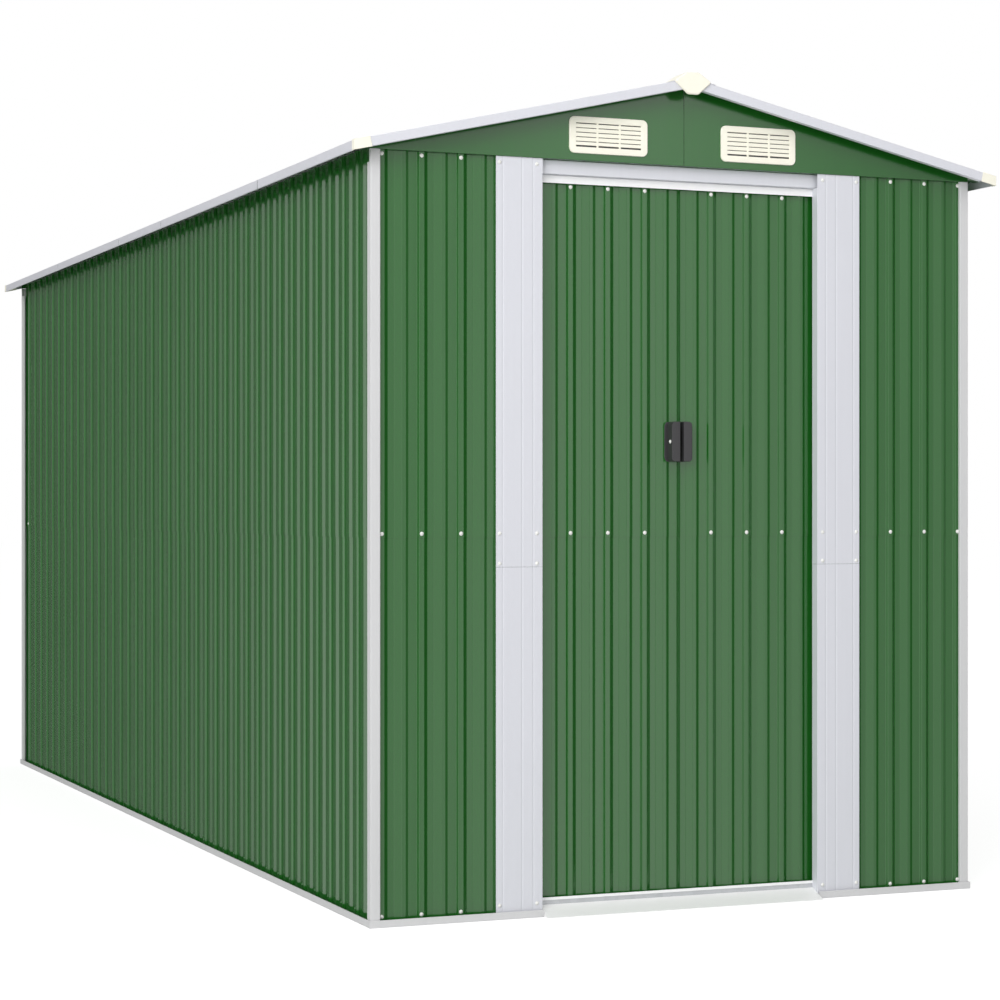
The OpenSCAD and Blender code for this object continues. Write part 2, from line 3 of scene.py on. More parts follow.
import bmesh
import bpy
import numpy as np
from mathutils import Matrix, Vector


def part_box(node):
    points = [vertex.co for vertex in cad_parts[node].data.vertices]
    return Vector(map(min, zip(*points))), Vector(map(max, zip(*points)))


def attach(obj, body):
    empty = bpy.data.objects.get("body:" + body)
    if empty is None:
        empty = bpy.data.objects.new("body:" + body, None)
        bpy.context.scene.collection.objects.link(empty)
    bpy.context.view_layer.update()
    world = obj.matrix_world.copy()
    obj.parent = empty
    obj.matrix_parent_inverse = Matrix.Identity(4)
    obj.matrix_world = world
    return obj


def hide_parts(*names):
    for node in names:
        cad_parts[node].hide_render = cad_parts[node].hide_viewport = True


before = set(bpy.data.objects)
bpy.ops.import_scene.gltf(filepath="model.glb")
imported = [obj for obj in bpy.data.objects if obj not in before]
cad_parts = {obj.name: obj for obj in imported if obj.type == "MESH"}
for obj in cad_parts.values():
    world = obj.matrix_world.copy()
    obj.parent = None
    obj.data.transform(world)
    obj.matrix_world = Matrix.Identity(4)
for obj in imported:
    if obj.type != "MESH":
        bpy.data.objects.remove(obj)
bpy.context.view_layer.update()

# Base rails: light grey coil-coated steel angles that lie on the ground round the foot of the walls.
# They are folded on a press brake with a small hem on the upper edge, and stop at the doorway.
MM = 0.001
X = np.array([1.0, 0.0, 0.0])
Y = np.array([0.0, 1.0, 0.0])
Z = np.array([0.0, 0.0, 1.0])
SHARP = math.radians(35)
FOLD_T = 1.5
FOLD_R = 2.5
RAIL_HEM = 3.0
RAIL_ROOM = 1.0
DOORWAY_GAP = 0.3
LEG_SHARE = 0.45
TURN_STEPS = 5


def node_box(node):
    """Lowest and highest corner of a CAD node, in millimetres."""
    low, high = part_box(node)
    return np.array(low) / MM, np.array(high) / MM


def linear(code):
    """sRGB hex code to linear RGBA: c / 12.92 up to 0.04045, then ((c + 0.055) / 1.055) to the
    power 2.4."""
    srgb = np.array([int(code[i:i + 2], 16) for i in (1, 3, 5)]) / 255
    rgb = np.where(srgb <= 0.04045, srgb / 12.92, ((srgb + 0.055) / 1.055) ** 2.4)
    return (*rgb, 1.0)


def add(tree, kind, sockets=None, **settings):
    """Adds one node: settings are its own options, and each socket takes a value or a link."""
    node = tree.nodes.new(kind)
    for option, value in settings.items():
        setattr(node, option, value)
    for socket, value in (sockets or {}).items():
        if isinstance(value, bpy.types.NodeSocket):
            tree.links.new(value, node.inputs[socket])
        else:
            node.inputs[socket].default_value = value
    return node


# Coil-coated steel: sheet that was zinc coated, primed and roller painted in the mill before it was folded.
# The eye gets a satin coat with a fine orange peel, faint roller streaks along the coil and soft clouding.
# The real peel is about 1 mm across and is drawn coarser so that it shows.
PEEL = 5.0
PEEL_DEPTH = 0.05
STREAK = 9.0
STREAK_RUN = 0.02
CLOUD = 420.0
COAT_IOR = 1.65
DRIFT_LOW = 0.6
DRIFT_HIGH = 1.4
PEEL_STRENGTH = 0.5


def coated_steel(name, colour, rough, tone):
    """Coil-coated steel of a colour: brightness and roughness drift by tone with clouds and streaks."""
    material = bpy.data.materials.new(name)
    material.use_nodes = True
    tree = material.node_tree
    tree.nodes.clear()
    place = add(tree, "ShaderNodeTexCoord").outputs["Object"]
    drawn = add(tree, "ShaderNodeMapping", {"Vector": place, "Scale": (1, 1, STREAK_RUN)})
    streak = add(tree, "ShaderNodeTexNoise", {
        "Vector": drawn.outputs["Vector"], "Scale": 1 / (STREAK * MM), "Detail": 2.0})
    cloud = add(tree, "ShaderNodeTexNoise", {
        "Vector": place, "Scale": 1 / (CLOUD * MM), "Detail": 3.0})
    peel = add(tree, "ShaderNodeTexNoise", {
        "Vector": place, "Scale": 1 / (PEEL * MM), "Detail": 1.0})
    drift = add(tree, "ShaderNodeMath", {
        0: streak.outputs["Fac"], 1: cloud.outputs["Fac"]}, operation="ADD")
    bright = add(tree, "ShaderNodeMapRange", {
        "Value": drift.outputs["Value"], "From Min": DRIFT_LOW, "From Max": DRIFT_HIGH,
        "To Min": 1 - tone, "To Max": 1 + tone})
    shade = add(tree, "ShaderNodeHueSaturation", {
        "Color": linear(colour), "Value": bright.outputs["Result"]})
    matt = add(tree, "ShaderNodeMapRange", {
        "Value": drift.outputs["Value"], "From Min": DRIFT_LOW, "From Max": DRIFT_HIGH,
        "To Min": rough - tone, "To Max": rough + tone})
    bump = add(tree, "ShaderNodeBump", {
        "Height": peel.outputs["Fac"], "Strength": PEEL_STRENGTH, "Distance": PEEL_DEPTH * MM})
    coat = add(tree, "ShaderNodeBsdfPrincipled", {
        "Base Color": shade.outputs["Color"], "Roughness": matt.outputs["Result"],
        "Normal": bump.outputs["Normal"], "IOR": COAT_IOR})
    add(tree, "ShaderNodeOutputMaterial", {"Surface": coat.outputs["BSDF"]})
    return material


def eased(corners, radius, steps=TURN_STEPS):
    """Polyline with eased corners: each corner C turns into the parabola from C - r d0 to C + r d1,
    with d0 and d1 the directions of its two legs and r held under half of the shorter leg."""
    corners = np.asarray(corners, float)
    legs = np.diff(corners, axis=0)
    length = np.linalg.norm(legs, axis=1, keepdims=True)
    heading = legs / length
    reach = np.minimum(radius, LEG_SHARE * np.minimum(length[:-1], length[1:]))
    start = (corners[1:-1] - reach * heading[:-1])[:, None]
    end = (corners[1:-1] + reach * heading[1:])[:, None]
    turn = corners[1:-1][:, None]
    t = np.linspace(0, 1, steps)[None, :, None]
    arcs = (1 - t) ** 2 * start + 2 * t * (1 - t) * turn + t ** 2 * end
    return np.concatenate([corners[:1], arcs.reshape(-1, 2), corners[-1:]])


def skin(line, thickness):
    """Closed section of a sheet: its face line, then the same line moved to its right, taken backwards."""
    run = np.gradient(line, axis=0)
    run /= np.linalg.norm(run, axis=1, keepdims=True)
    right = np.stack([run[:, 1], -run[:, 0]], axis=1)
    return np.concatenate([line, (line + thickness * right)[::-1]])


def carry(section, stations, origin, first, second, along):
    """Shell of a section carried straight: origin + a first + b second + s along, for each
    section point (a, b) and station s, closed at both ends."""
    a = section[None, :, 0, None]
    b = section[None, :, 1, None]
    s = np.asarray(stations, float)[:, None, None]
    return shell(origin + a * first + b * second + s * along)


def shell(grid):
    """Points and quads of a grid of sections: bands between neighbouring sections, and strips across
    the first and the last one that join point i of a section to the i-th point from its end."""
    stations, ring = grid.shape[:2]
    row = np.arange(stations - 1)[:, None] * ring
    here = np.arange(ring)[None, :]
    after = (here + 1) % ring
    bands = np.stack([row + here, row + after, row + ring + after, row + ring + here], axis=-1)
    i = np.arange(ring // 2 - 1)
    strips = np.stack([i, i + 1, ring - 2 - i, ring - 1 - i], axis=-1)
    quads = [bands.reshape(-1, 4), strips, strips + (stations - 1) * ring]
    return grid.reshape(-1, 3), np.concatenate(quads)


def build(name, shells, finish, body, slot, *nodes):
    """One object from shells in millimetres: faces turned outwards, flat faces kept flat in shading."""
    corners, faces = zip(*shells)
    starts = np.cumsum([0] + [len(part) for part in corners])
    points = np.concatenate(corners) * MM
    quads = np.concatenate([part + start for part, start in zip(faces, starts)])
    mesh = bpy.data.meshes.new(name)
    mesh.vertices.add(len(points))
    mesh.vertices.foreach_set("co", points.ravel())
    mesh.loops.add(quads.size)
    mesh.loops.foreach_set("vertex_index", quads.ravel())
    mesh.polygons.add(len(quads))
    mesh.polygons.foreach_set("loop_start", np.arange(0, quads.size, 4))
    mesh.update(calc_edges=True)
    dress(name, mesh, finish, body, slot, *nodes)


def dress(name, mesh, finish, body, slot, *nodes):
    """Object for a mesh, with its finish, its shading, the body it rides and the nodes it stands for."""
    work = bmesh.new()
    work.from_mesh(mesh)
    bmesh.ops.recalc_face_normals(work, faces=work.faces)
    work.to_mesh(mesh)
    work.free()
    mesh.shade_smooth()
    mesh.set_sharp_from_angle(angle=SHARP)
    mesh.materials.append(finish)
    piece = bpy.data.objects.new(name, mesh)
    bpy.context.collection.objects.link(piece)
    level = piece.modifiers.new("flat faces", "WEIGHTED_NORMAL")
    level.keep_sharp = True
    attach(piece, body)
    if nodes:
        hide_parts(*nodes)
    return piece


post_low, post_high = node_box("corner_post_front_left")
half_w, half_d = -post_low[:2]
wall_h = post_high[2]

# Each wall's frame: a point on the face of the corner posts, the way along the wall and the way out of it
FRONT = (-half_d * Y, X, -Y)
BACK = (half_d * Y, X, Y)
LEFT = (-half_w * X, Y, -X)
RIGHT = (half_w * X, Y, X)

grey_coat = coated_steel("light_grey_coated_steel", "#d6d6d7", 0.42, 0.02)


def along_wall(wall, section, start, end):
    """Shell of a section in (out, up) carried along a wall."""
    origin, along, out = wall
    return carry(section, [start, end], origin, out, Z, along)


rail_low, rail_high = node_box("base_rail_left")
rail_proud = -half_w - rail_low[0]
rail_reach = rail_high[0] + half_w
rail_h = rail_high[2]
rail_face = [(rail_proud - RAIL_HEM, rail_h), (rail_proud, rail_h), (rail_proud, 0)]
angle = skin(eased(rail_face + [(-rail_reach, 0)], FOLD_R), FOLD_T)
strap = skin(eased(rail_face, FOLD_R), FOLD_T)
side_end = rail_high[1]
web_end = half_w - rail_reach - RAIL_ROOM
doorway_half = node_box("right_jamb")[0][0]
front_start = doorway_half + DOORWAY_GAP
face_end = half_w + rail_proud
build("base_rail_left", [along_wall(LEFT, angle, -side_end, side_end)],
      grey_coat, "shed", "grey_frame", "base_rail_left")
build("base_rail_right", [along_wall(RIGHT, angle, -side_end, side_end)],
      grey_coat, "shed", "grey_frame", "base_rail_right")
build("base_rail_front", [
    along_wall(FRONT, angle, front_start, web_end), along_wall(FRONT, strap, web_end, face_end),
    along_wall(FRONT, angle, -web_end, -front_start), along_wall(FRONT, strap, -face_end, -web_end)],
    grey_coat, "shed", "grey_frame", "base_rail_front")
build("base_rail_back", [
    along_wall(BACK, angle, -web_end, web_end),
    along_wall(BACK, strap, web_end, face_end), along_wall(BACK, strap, -face_end, -web_end)],
    grey_coat, "shed", "grey_frame", "base_rail_back")

# Corner posts: light grey coated steel angles with their edges turned in against the wall sheets.
# The face on the side is cut away under the eave, so that the roof's edge can pass.
POST_W = 27.0
POST_TURN = 8.7
NOTCH_H = 33.0
NOTCH_STUB = 10.2
notch_z = wall_h - NOTCH_H
post_front = [(POST_W, POST_TURN), (POST_W, 0), (0, 0)]
post_full = skin(eased(post_front + [(0, POST_W), (POST_TURN, POST_W)], FOLD_R), FOLD_T)
post_cut = skin(eased(post_front + [(0, NOTCH_STUB)], FOLD_R), FOLD_T)
for end, side_y in (("front", -1), ("back", 1)):
    for side, side_x in (("left", -1), ("right", 1)):
        node = f"corner_post_{end}_{side}"
        corner = side_x * half_w * X + side_y * half_d * Y
        build(node, [
            carry(post_full, [post_low[2], notch_z], corner, -side_x * X, -side_y * Y, Z),
            carry(post_cut, [notch_z, wall_h], corner, -side_x * X, -side_y * Y, Z)],
            grey_coat, "shed", "grey_frame", node)

# Wall sheets: roll-formed green coated steel, 1 mm thick, in two heights with the upper sheet lapped
# over the lower one. Each pitch has a tall rib, steep on one side and easy on the other, and a low one.
PITCH = 110.0
TALL_H = 6.0
TALL_STEEP = 4.0
TALL_LEFT = 4.6
TALL_RIGHT = 9.7
TALL_EASY = 10.7
LOW_H = 3.0
LOW_START = 38.0
LOW_RISE = 21.0
LOW_EDGE = 69.5
LOW_DROP = 8.0
SHEET_T = 1.0
SHEET_R = 1.5
LAP_STEP = 1.3
TURN_INSET = 0.1
WALL_CREST = 9.0
SIDE_CREST = 13.0
CREST_MIDDLE = 2.2
SEAM_Z = 1000.0
SEAM_LAP = 22.0
SIDE_FIRST = 43.7
JAMB_EDGE_INSET = 10.7
tall_rib = np.array([
    (-TALL_LEFT - TALL_STEEP, 0), (-TALL_LEFT, TALL_H),
    (TALL_RIGHT, TALL_H), (TALL_RIGHT + TALL_EASY, 0)])
low_rib = np.array([
    (LOW_START, 0), (LOW_START + LOW_RISE, LOW_H), (LOW_EDGE, LOW_H), (LOW_EDGE + LOW_DROP, 0)])
one_pitch = np.concatenate([tall_rib, low_rib])

green_coat = coated_steel("green_coated_steel", "#195d1a", 0.17, 0.02)


def ribbed(first, start, end, drop, turned=0, turn_to=0.0):
    """Section of ribbed sheet: the corners of one pitch repeated from the first rib on, cut at both
    edges on the straight between two corners, lowered by drop, eased and given its thickness. An edge
    that is turned, the first for -1 and the last for 1, is folded back to a depth."""
    count = np.arange(np.floor((start - first) / PITCH) - 1, np.ceil((end - first) / PITCH) + 2)
    row = (one_pitch[None] + (first + count * PITCH)[:, None, None] * (1, 0)).reshape(-1, 2)
    inside = row[(row[:, 0] > start) & (row[:, 0] < end)]
    edge = np.interp([start, end], row[:, 0], row[:, 1])
    line = np.vstack([(start, edge[0]), inside, (end, edge[1])]) - (0, drop)
    if turned < 0:
        line = np.vstack([(start, turn_to), line])
    if turned > 0:
        line = np.vstack([line, (end, turn_to)])
    return skin(eased(line, SHEET_R), SHEET_T)


def wall_skin(wall, first, start, end, foot, top, crest, turned=0, turn_to=0.0):
    """Lower and upper sheet of a wall, with rib crests at a depth behind the posts' face. The lower
    sheet's turned edge stands back a little from the upper one's."""
    origin, along, out = wall
    lower_start = start + max(-turned, 0) * TURN_INSET
    lower_end = end - max(turned, 0) * TURN_INSET
    lower = ribbed(first, lower_start, lower_end, crest + TALL_H + LAP_STEP, turned, turn_to)
    upper = ribbed(first, start, end, crest + TALL_H, turned, turn_to)
    return [carry(lower, [foot, SEAM_Z + SEAM_LAP], origin, along, out, Z),
            carry(upper, [SEAM_Z, top], origin, along, out, Z)]


jamb_edge = node_box("right_jamb")[1][0]
jamb_rib = jamb_edge - JAMB_EDGE_INSET
wall_first = {
    "front_left_wall": (FRONT, 0, -jamb_rib, WALL_CREST),
    "front_right_wall": (FRONT, 0, jamb_rib, WALL_CREST),
    "left_wall": (LEFT, 1, SIDE_FIRST - half_d, SIDE_CREST),
    "right_wall": (RIGHT, 1, SIDE_FIRST - half_d, SIDE_CREST),
    "back_wall": (BACK, 0, 0.0, WALL_CREST)}
for node, (wall, axis, first, crest) in wall_first.items():
    low, high = node_box(node)
    sheets = wall_skin(wall, first, low[axis], high[axis], low[2], high[2], crest)
    build(node, sheets, green_coat, "shed", "green_sheet", node)

# Sheet screws: enamelled self-tapping screws with a washer under a low dome, in the crests of the tall
# ribs. White ones hold the foot, the seam and the top of the end walls and the ends of the side walls'
# seams, and green ones hold the foot of the side walls.
SCREW_SIDES = 10
SCREW_LIFT = 0.05
screw_half = np.array([(5.4, 0.0), (5.4, 0.6), (4.4, 1.0), (3.9, 2.1), (2.4, 3.0), (0.9, 3.25)])
FOOT_SCREW_Z = 26.0
SEAM_SCREW_Z = 1011.0
TOP_SCREW_Z = 1990.0
SIDE_SCREW_MARGIN = 20.0
END_SCREW_MARGIN = 4.0

white_coat = coated_steel("white_coated_steel", "#dcdde4", 0.38, 0.015)
screw_coat = coated_steel("white_screw_enamel", "#f0f0ec", 0.35, 0.01)


def screws(name, seats, out, across, body, finish=screw_coat, slot="white_trim"):
    """Screw heads on seats: the half section (r, h) turned about the way out, as
    seat + r (cos t across + sin t side) + h out, each closed on its flat top and foot."""
    side = np.cross(out, across)
    t = np.arange(SCREW_SIDES) * 2 * np.pi / SCREW_SIDES
    turn = np.cos(t)[:, None] * across + np.sin(t)[:, None] * side
    head = screw_half[:, 0, None, None] * turn + (screw_half[:, 1, None, None] + SCREW_LIFT) * out
    heads = [shell(seat + head) for seat in seats]
    build(name, heads, finish, body, slot)


def seats_on(wall, places, heights, depth):
    """Seats at every place along a wall and every height, at a depth behind the posts' face."""
    origin, along, out = wall
    a, z = np.meshgrid(places, heights)
    return origin + a.reshape(-1, 1) * along + z.reshape(-1, 1) * Z - depth * out


def crest_places(first, start, end, margin):
    """Places of the tall ribs between two edges, with a margin from each."""
    count = np.arange(np.floor((start - first) / PITCH) - 1, np.ceil((end - first) / PITCH) + 2)
    places = first + count * PITCH + CREST_MIDDLE
    return places[(places > start + margin) & (places < end - margin)]


for node, (wall, axis, first, crest) in wall_first.items():
    low, high = node_box(node)
    margin = SIDE_SCREW_MARGIN if axis == 1 else END_SCREW_MARGIN
    places = crest_places(first, low[axis], high[axis], margin)
    places = places[np.abs(places) > jamb_edge] if "front" in node else places
    lower = seats_on(wall, places, [FOOT_SCREW_Z], crest + LAP_STEP)
    if axis == 1:
        screws(f"{node}_foot_screws", lower, wall[2], Z, "shed", green_coat, "green_sheet")
        upper = seats_on(wall, places[[0, -1]], [SEAM_SCREW_Z], crest)
        screws(f"{node}_screws", upper, wall[2], Z, "shed")
    else:
        upper = seats_on(wall, places, [SEAM_SCREW_Z, TOP_SCREW_Z], crest)
        screws(f"{node}_screws", np.concatenate([lower, upper]), wall[2], Z, "shed")

# Jambs: white coated steel strips beside the doorway, with shallow grooves, a return folded into the
# doorway and a hem turned under at the wall. A lower strip meets an upper one, and screws hold both.
JAMB_CREST = 6.0
JAMB_SEAM_Z = 923.0
JAMB_GAP = 0.6
JAMB_RIB_INSET = 16.4
JAMB_GROOVES = np.array([107.0, 75.0, 20.0])
GROOVE_HALF = 3.0
GROOVE_DEPTH = 0.8
JAMB_HEM = (-5.0, -8.4)
LINTEL_DROP = 38.0
JAMB_FOOT_LIFT = 10.0
JAMB_SEAM_LIFT = 9.0
JAMB_TOP_DROP = 6.0
jamb_low, jamb_high = node_box("right_jamb")
return_back = jamb_high[1] + half_d
lintel_z = wall_h - LINTEL_DROP
inner_rib = doorway_half + JAMB_RIB_INSET
groove = np.array([(-GROOVE_HALF, 0), (0, -GROOVE_DEPTH), (GROOVE_HALF, 0)])
grooves = (groove[None] + (jamb_edge - JAMB_GROOVES)[:, None, None] * (1, 0)).reshape(-1, 2)
jamb_line = np.vstack([
    (doorway_half, 0), grooves, (jamb_edge, 0), (jamb_edge, 0) + np.array(JAMB_HEM)]) - (0, JAMB_CREST)
jamb_face = skin(eased(jamb_line, SHEET_R), SHEET_T)
jamb_full = skin(eased(np.vstack([(doorway_half, -return_back), jamb_line]), SHEET_R), SHEET_T)
jamb_screw_z = [FOOT_SCREW_Z + JAMB_FOOT_LIFT, JAMB_SEAM_Z + JAMB_SEAM_LIFT, SEAM_SCREW_Z,
                TOP_SCREW_Z - JAMB_TOP_DROP]
for side, side_x in (("left", -1), ("right", 1)):
    node = f"{side}_jamb"
    origin = FRONT[0]
    build(node, [
        carry(jamb_full, [jamb_low[2], JAMB_SEAM_Z - JAMB_GAP], origin, side_x * X, -Y, Z),
        carry(jamb_full, [JAMB_SEAM_Z, lintel_z], origin, side_x * X, -Y, Z),
        carry(jamb_face, [lintel_z, wall_h], origin, side_x * X, -Y, Z)],
        white_coat, "shed", "white_trim", node)
    places = side_x * np.array([inner_rib, jamb_rib])
    screws(f"{node}_screws", seats_on(FRONT, places, jamb_screw_z, JAMB_CREST), -Y, Z, "shed")

# Header and door tracks: the header and the top track are white coated channels over the doorway, and
# the bottom track is a galvanised channel that the doors' gliders run in, whose hem on its lip is coated
# bright white as a painted highlight of its lit rounded edge.
TRACK_T = 1.2
SPANGLE = 16.0
ZINC_SMOOTH = 0.5
ZINC_ROUGH = 0.6
ZINC_METAL = 0.25


def galvanised_steel(name, dark, pale):
    """Hot-dip galvanised steel: a zinc coat whose crystals, or spangle, differ a little in brightness
    and roughness. Voronoi cells give each crystal its own tone."""
    material = bpy.data.materials.new(name)
    material.use_nodes = True
    tree = material.node_tree
    tree.nodes.clear()
    place = add(tree, "ShaderNodeTexCoord").outputs["Object"]
    crystal = add(tree, "ShaderNodeTexVoronoi", {"Vector": place, "Scale": 1 / (SPANGLE * MM)})
    tone = add(tree, "ShaderNodeSeparateColor", {"Color": crystal.outputs["Color"]})
    colour = add(tree, "ShaderNodeValToRGB", {"Fac": tone.outputs["Red"]})
    colour.color_ramp.elements[0].color = linear(dark)
    colour.color_ramp.elements[1].color = linear(pale)
    matt = add(tree, "ShaderNodeMapRange", {
        "Value": tone.outputs["Green"], "To Min": ZINC_SMOOTH, "To Max": ZINC_ROUGH})
    zinc = add(tree, "ShaderNodeBsdfPrincipled", {
        "Base Color": colour.outputs["Color"], "Roughness": matt.outputs["Result"],
        "Metallic": ZINC_METAL})
    add(tree, "ShaderNodeOutputMaterial", {"Surface": zinc.outputs["BSDF"]})
    return material


zinc_coat = galvanised_steel("galvanised_steel", "#bfc1c4", "#c8cacd")
header_low, header_high = node_box("door_header")
track_low, track_high = node_box("top_track")
track_end = header_high[0]
header_out = -half_d - header_low[1]
header_in = -half_d - header_high[1]
header_line = [(header_in, wall_h), (header_out, wall_h),
               (header_out, header_low[2]), (header_in, header_low[2])]
header_section = skin(eased(header_line, FOLD_R), FOLD_T)
build("door_header", [along_wall(FRONT, header_section, -track_end, track_end)],
      white_coat, "shed", "white_trim", "door_header")

track_out = -half_d - track_low[1]
track_in = -half_d - track_high[1]
track_line = [(track_in, track_low[2]), (track_in, lintel_z),
              (track_out, lintel_z), (track_out, track_low[2])]
track_section = skin(eased(track_line, FOLD_R), TRACK_T)
bright_white = coated_steel("bright_white_coated_steel", "#fbfbfc", 0.35, 0.01)
build("top_track", [along_wall(FRONT, track_section, -track_end, track_end)],
      bright_white, "shed", "white_trim", "top_track")


def bar(low_a, high_a, low_b, high_b, radius):
    """Section of a solid bar: a rectangle with eased edges, as two matching halves."""
    half = eased([(low_a, (low_b + high_b) / 2), (low_a, high_b), (high_a, high_b),
                  (high_a, (low_b + high_b) / 2)], radius)
    return np.concatenate([half, (half * (1, -1) + (0, low_b + high_b))[::-1]])


EDGE_R = 0.4
SILL_LIP = 12.7
SILL_HEM = 7.5
HEM_T = 1.6
HEM_R = 0.8
sill_low, sill_high = node_box("bottom_track")
sill_out = -half_d - sill_low[1]
sill_in = -half_d - sill_high[1]
sill_top = sill_high[2]
sill_web = sill_top - SILL_LIP
sill_bars = [
    bar(sill_out - TRACK_T, sill_out, 0, sill_top, EDGE_R),
    bar(sill_in, sill_in + TRACK_T, 0, sill_top, EDGE_R),
    bar(sill_in + TRACK_T, sill_out - TRACK_T, sill_web - FOLD_T, sill_web, EDGE_R)]
sill_lip = bar(sill_out, sill_out + HEM_T, sill_top - SILL_HEM, sill_top, HEM_R)
build("bottom_track", [along_wall(FRONT, section, -track_end, track_end) for section in sill_bars],
      zinc_coat, "shed", "zinc", "bottom_track")
# Painted highlight: the hem is real, but its bright white coat stands for its lit rounded edge above the
# zinc face.
build("bottom_track_lip_highlight", [along_wall(FRONT, sill_lip, -track_end, track_end)],
      bright_white, "shed", "white_trim")

# Ramp: a white coated steel plate from the ground up to the bottom track, folded down behind so that it
# stands on its own edge.
RAMP_NOSE = 2.2
RAMP_LIFT = 0.2
ramp_low, ramp_high = node_box("ramp")
ramp_out = -half_d - ramp_low[1]
ramp_in = -half_d - ramp_high[1]
ramp_line = [(ramp_in, RAMP_LIFT), (ramp_in, ramp_high[2]), (ramp_out - RAMP_NOSE, FOLD_T)]
ramp_section = skin(eased(ramp_line, FOLD_R), FOLD_T)
ramp_coat = coated_steel("ramp_white_coated_steel", "#fcfcfc", 0.4, 0.01)
build("ramp", [along_wall(FRONT, ramp_section, ramp_low[0], ramp_high[0])],
      ramp_coat, "shed", "white_trim", "ramp")

# Inside rails: galvanised channels halfway up the walls and along their tops, screwed to the sheets.
# The upper ones on the sides have their top flange bent to the roof's slope.
PITCH_ANGLE = math.radians(12.7)
RISE = math.tan(PITCH_ANGLE)
CAP_N = 1.5
ridge_cap_high = node_box("ridge_cap")[1]
peak_z = ridge_cap_high[2] - CAP_N / math.cos(PITCH_ANGLE)
seat_drop = peak_z - node_box("front_gable")[1][2]
inner_low, inner_high = node_box("left_mid_rail")
rail_in = inner_high[0] + half_w
rail_out = inner_low[0] + half_w


def channel(low_z, high_z):
    """Section of a channel with its web on the wall and its flanges inwards."""
    line = [(-rail_in, high_z), (-rail_out, high_z), (-rail_out, low_z), (-rail_in, low_z)]
    return skin(eased(line, FOLD_R), FOLD_T)


for side, wall in (("left", LEFT), ("right", RIGHT), ("back", BACK)):
    axis = 0 if side == "back" else 1
    for level in ("mid", "top"):
        node = f"{side}_{level}_rail"
        low, high = node_box(node)
        seat = [peak_z - RISE * (half_w - depth) - seat_drop for depth in (rail_in, rail_out)]
        sloped = [(-rail_in, seat[0]), (-rail_out, seat[1]), (-rail_out, low[2])]
        section = channel(low[2], high[2])
        if level == "top" and side != "back":
            section = skin(eased(sloped, FOLD_R), FOLD_T)
        build(node, [along_wall(wall, section, low[axis], high[axis])], zinc_coat, "shed", "zinc", node)

# Gables: two flat green coated plates at each end that meet under the ridge, with their feet folded in
# over the wall and their slopes cut to the roof.
GABLE_DEPTH = 2.0
GABLE_FOOT = 0.3
GABLE_SEAM = 1.4
GABLE_EDGE = 1.0


def gable_half(wall, side_x):
    """Half a gable: a folded plate carried out from the ridge. The points within an edge's width of its
    top sink with the roof's rise, and past the header its foot is cut short."""
    origin, along, out = wall
    foot = wall_h + GABLE_FOOT
    top = peak_z - seat_drop
    line = [(-GABLE_DEPTH, top), (-GABLE_DEPTH, foot), (-rail_in, foot)]
    section = skin(eased(line, FOLD_R), SHEET_T)
    stations = np.array([GABLE_SEAM / 2, header_high[0], half_w])
    fall = np.where(section[:, 1] > top - GABLE_EDGE, 1, 0)
    height = section[None, :, 1] - stations[:, None] * RISE * fall
    depth = np.where(stations[:, None] > header_high[0] + GABLE_EDGE,
                     np.maximum(section[None, :, 0], -GABLE_DEPTH - FOLD_R), section[None, :, 0])
    place = side_x * stations[:, None, None] * along
    return shell(origin + place + depth[..., None] * out + height[..., None] * Z)


for end, wall in (("front", FRONT), ("back", BACK)):
    build(f"{end}_gable", [gable_half(wall, -1), gable_half(wall, 1)],
          green_coat, "shed", "green_sheet", f"{end}_gable")

# Vents: cream polypropylene grilles screwed on to the gables. A flat rim with rounded corners holds five
# blades and two upright bars in front of a dark sheet, painted shade that darkens the slots, and the lowest
# slot is the widest.
VENT_HALF = 115.0
VENT_R = 15.0
VENT_ROUND = 2.0
VENT_FRONT = 3.0
VENT_BACK = -1.8
VENT_SIDE = 19.0
VENT_FIELD = 32.0
VENT_FIELD_R = 1.5
VENT_LIP = 0.6
VENT_BAR = 5.0
VENT_ROWS = 6
VENT_TOP_SLOT = 3.0
VENT_SLOT = 2.2
VENT_LOW_SLOT = 4.6
BLADE_FRONT = 2.4
BLADE_R = 0.5
# Thickness of the dark sheet that paints the shade in the slots
SHADE_SHEET_T = 0.5
FIELDS = 3
PLASTIC_IOR = 1.49
FLOW_GRAINS = 20.0
FLOW_TONE = 0.04
GRAIN_ROUGH = 0.08
GRAIN_STRENGTH = 0.6


def moulded_plastic(name, colour, rough, grain, depth):
    """Injection-moulded polypropylene: a waxy half-gloss with the fine spark-eroded grain of its mould
    and a trace of light passing under the surface."""
    material = bpy.data.materials.new(name)
    material.use_nodes = True
    tree = material.node_tree
    tree.nodes.clear()
    place = add(tree, "ShaderNodeTexCoord").outputs["Object"]
    grit = add(tree, "ShaderNodeTexNoise", {"Vector": place, "Scale": 1 / (grain * MM), "Detail": 3.0})
    flow = add(tree, "ShaderNodeTexNoise", {"Vector": place, "Scale": 1 / (FLOW_GRAINS * grain * MM)})
    bright = add(tree, "ShaderNodeMapRange", {
        "Value": flow.outputs["Fac"], "To Min": 1 - FLOW_TONE, "To Max": 1 + FLOW_TONE})
    shade = add(tree, "ShaderNodeHueSaturation", {
        "Color": linear(colour), "Value": bright.outputs["Result"]})
    matt = add(tree, "ShaderNodeMapRange", {
        "Value": grit.outputs["Fac"], "To Min": rough - GRAIN_ROUGH, "To Max": rough + GRAIN_ROUGH})
    bump = add(tree, "ShaderNodeBump", {
        "Height": grit.outputs["Fac"], "Strength": GRAIN_STRENGTH, "Distance": depth * MM})
    plastic = add(tree, "ShaderNodeBsdfPrincipled", {
        "Base Color": shade.outputs["Color"], "Roughness": matt.outputs["Result"],
        "Normal": bump.outputs["Normal"], "IOR": PLASTIC_IOR})
    add(tree, "ShaderNodeOutputMaterial", {"Surface": plastic.outputs["BSDF"]})
    return material


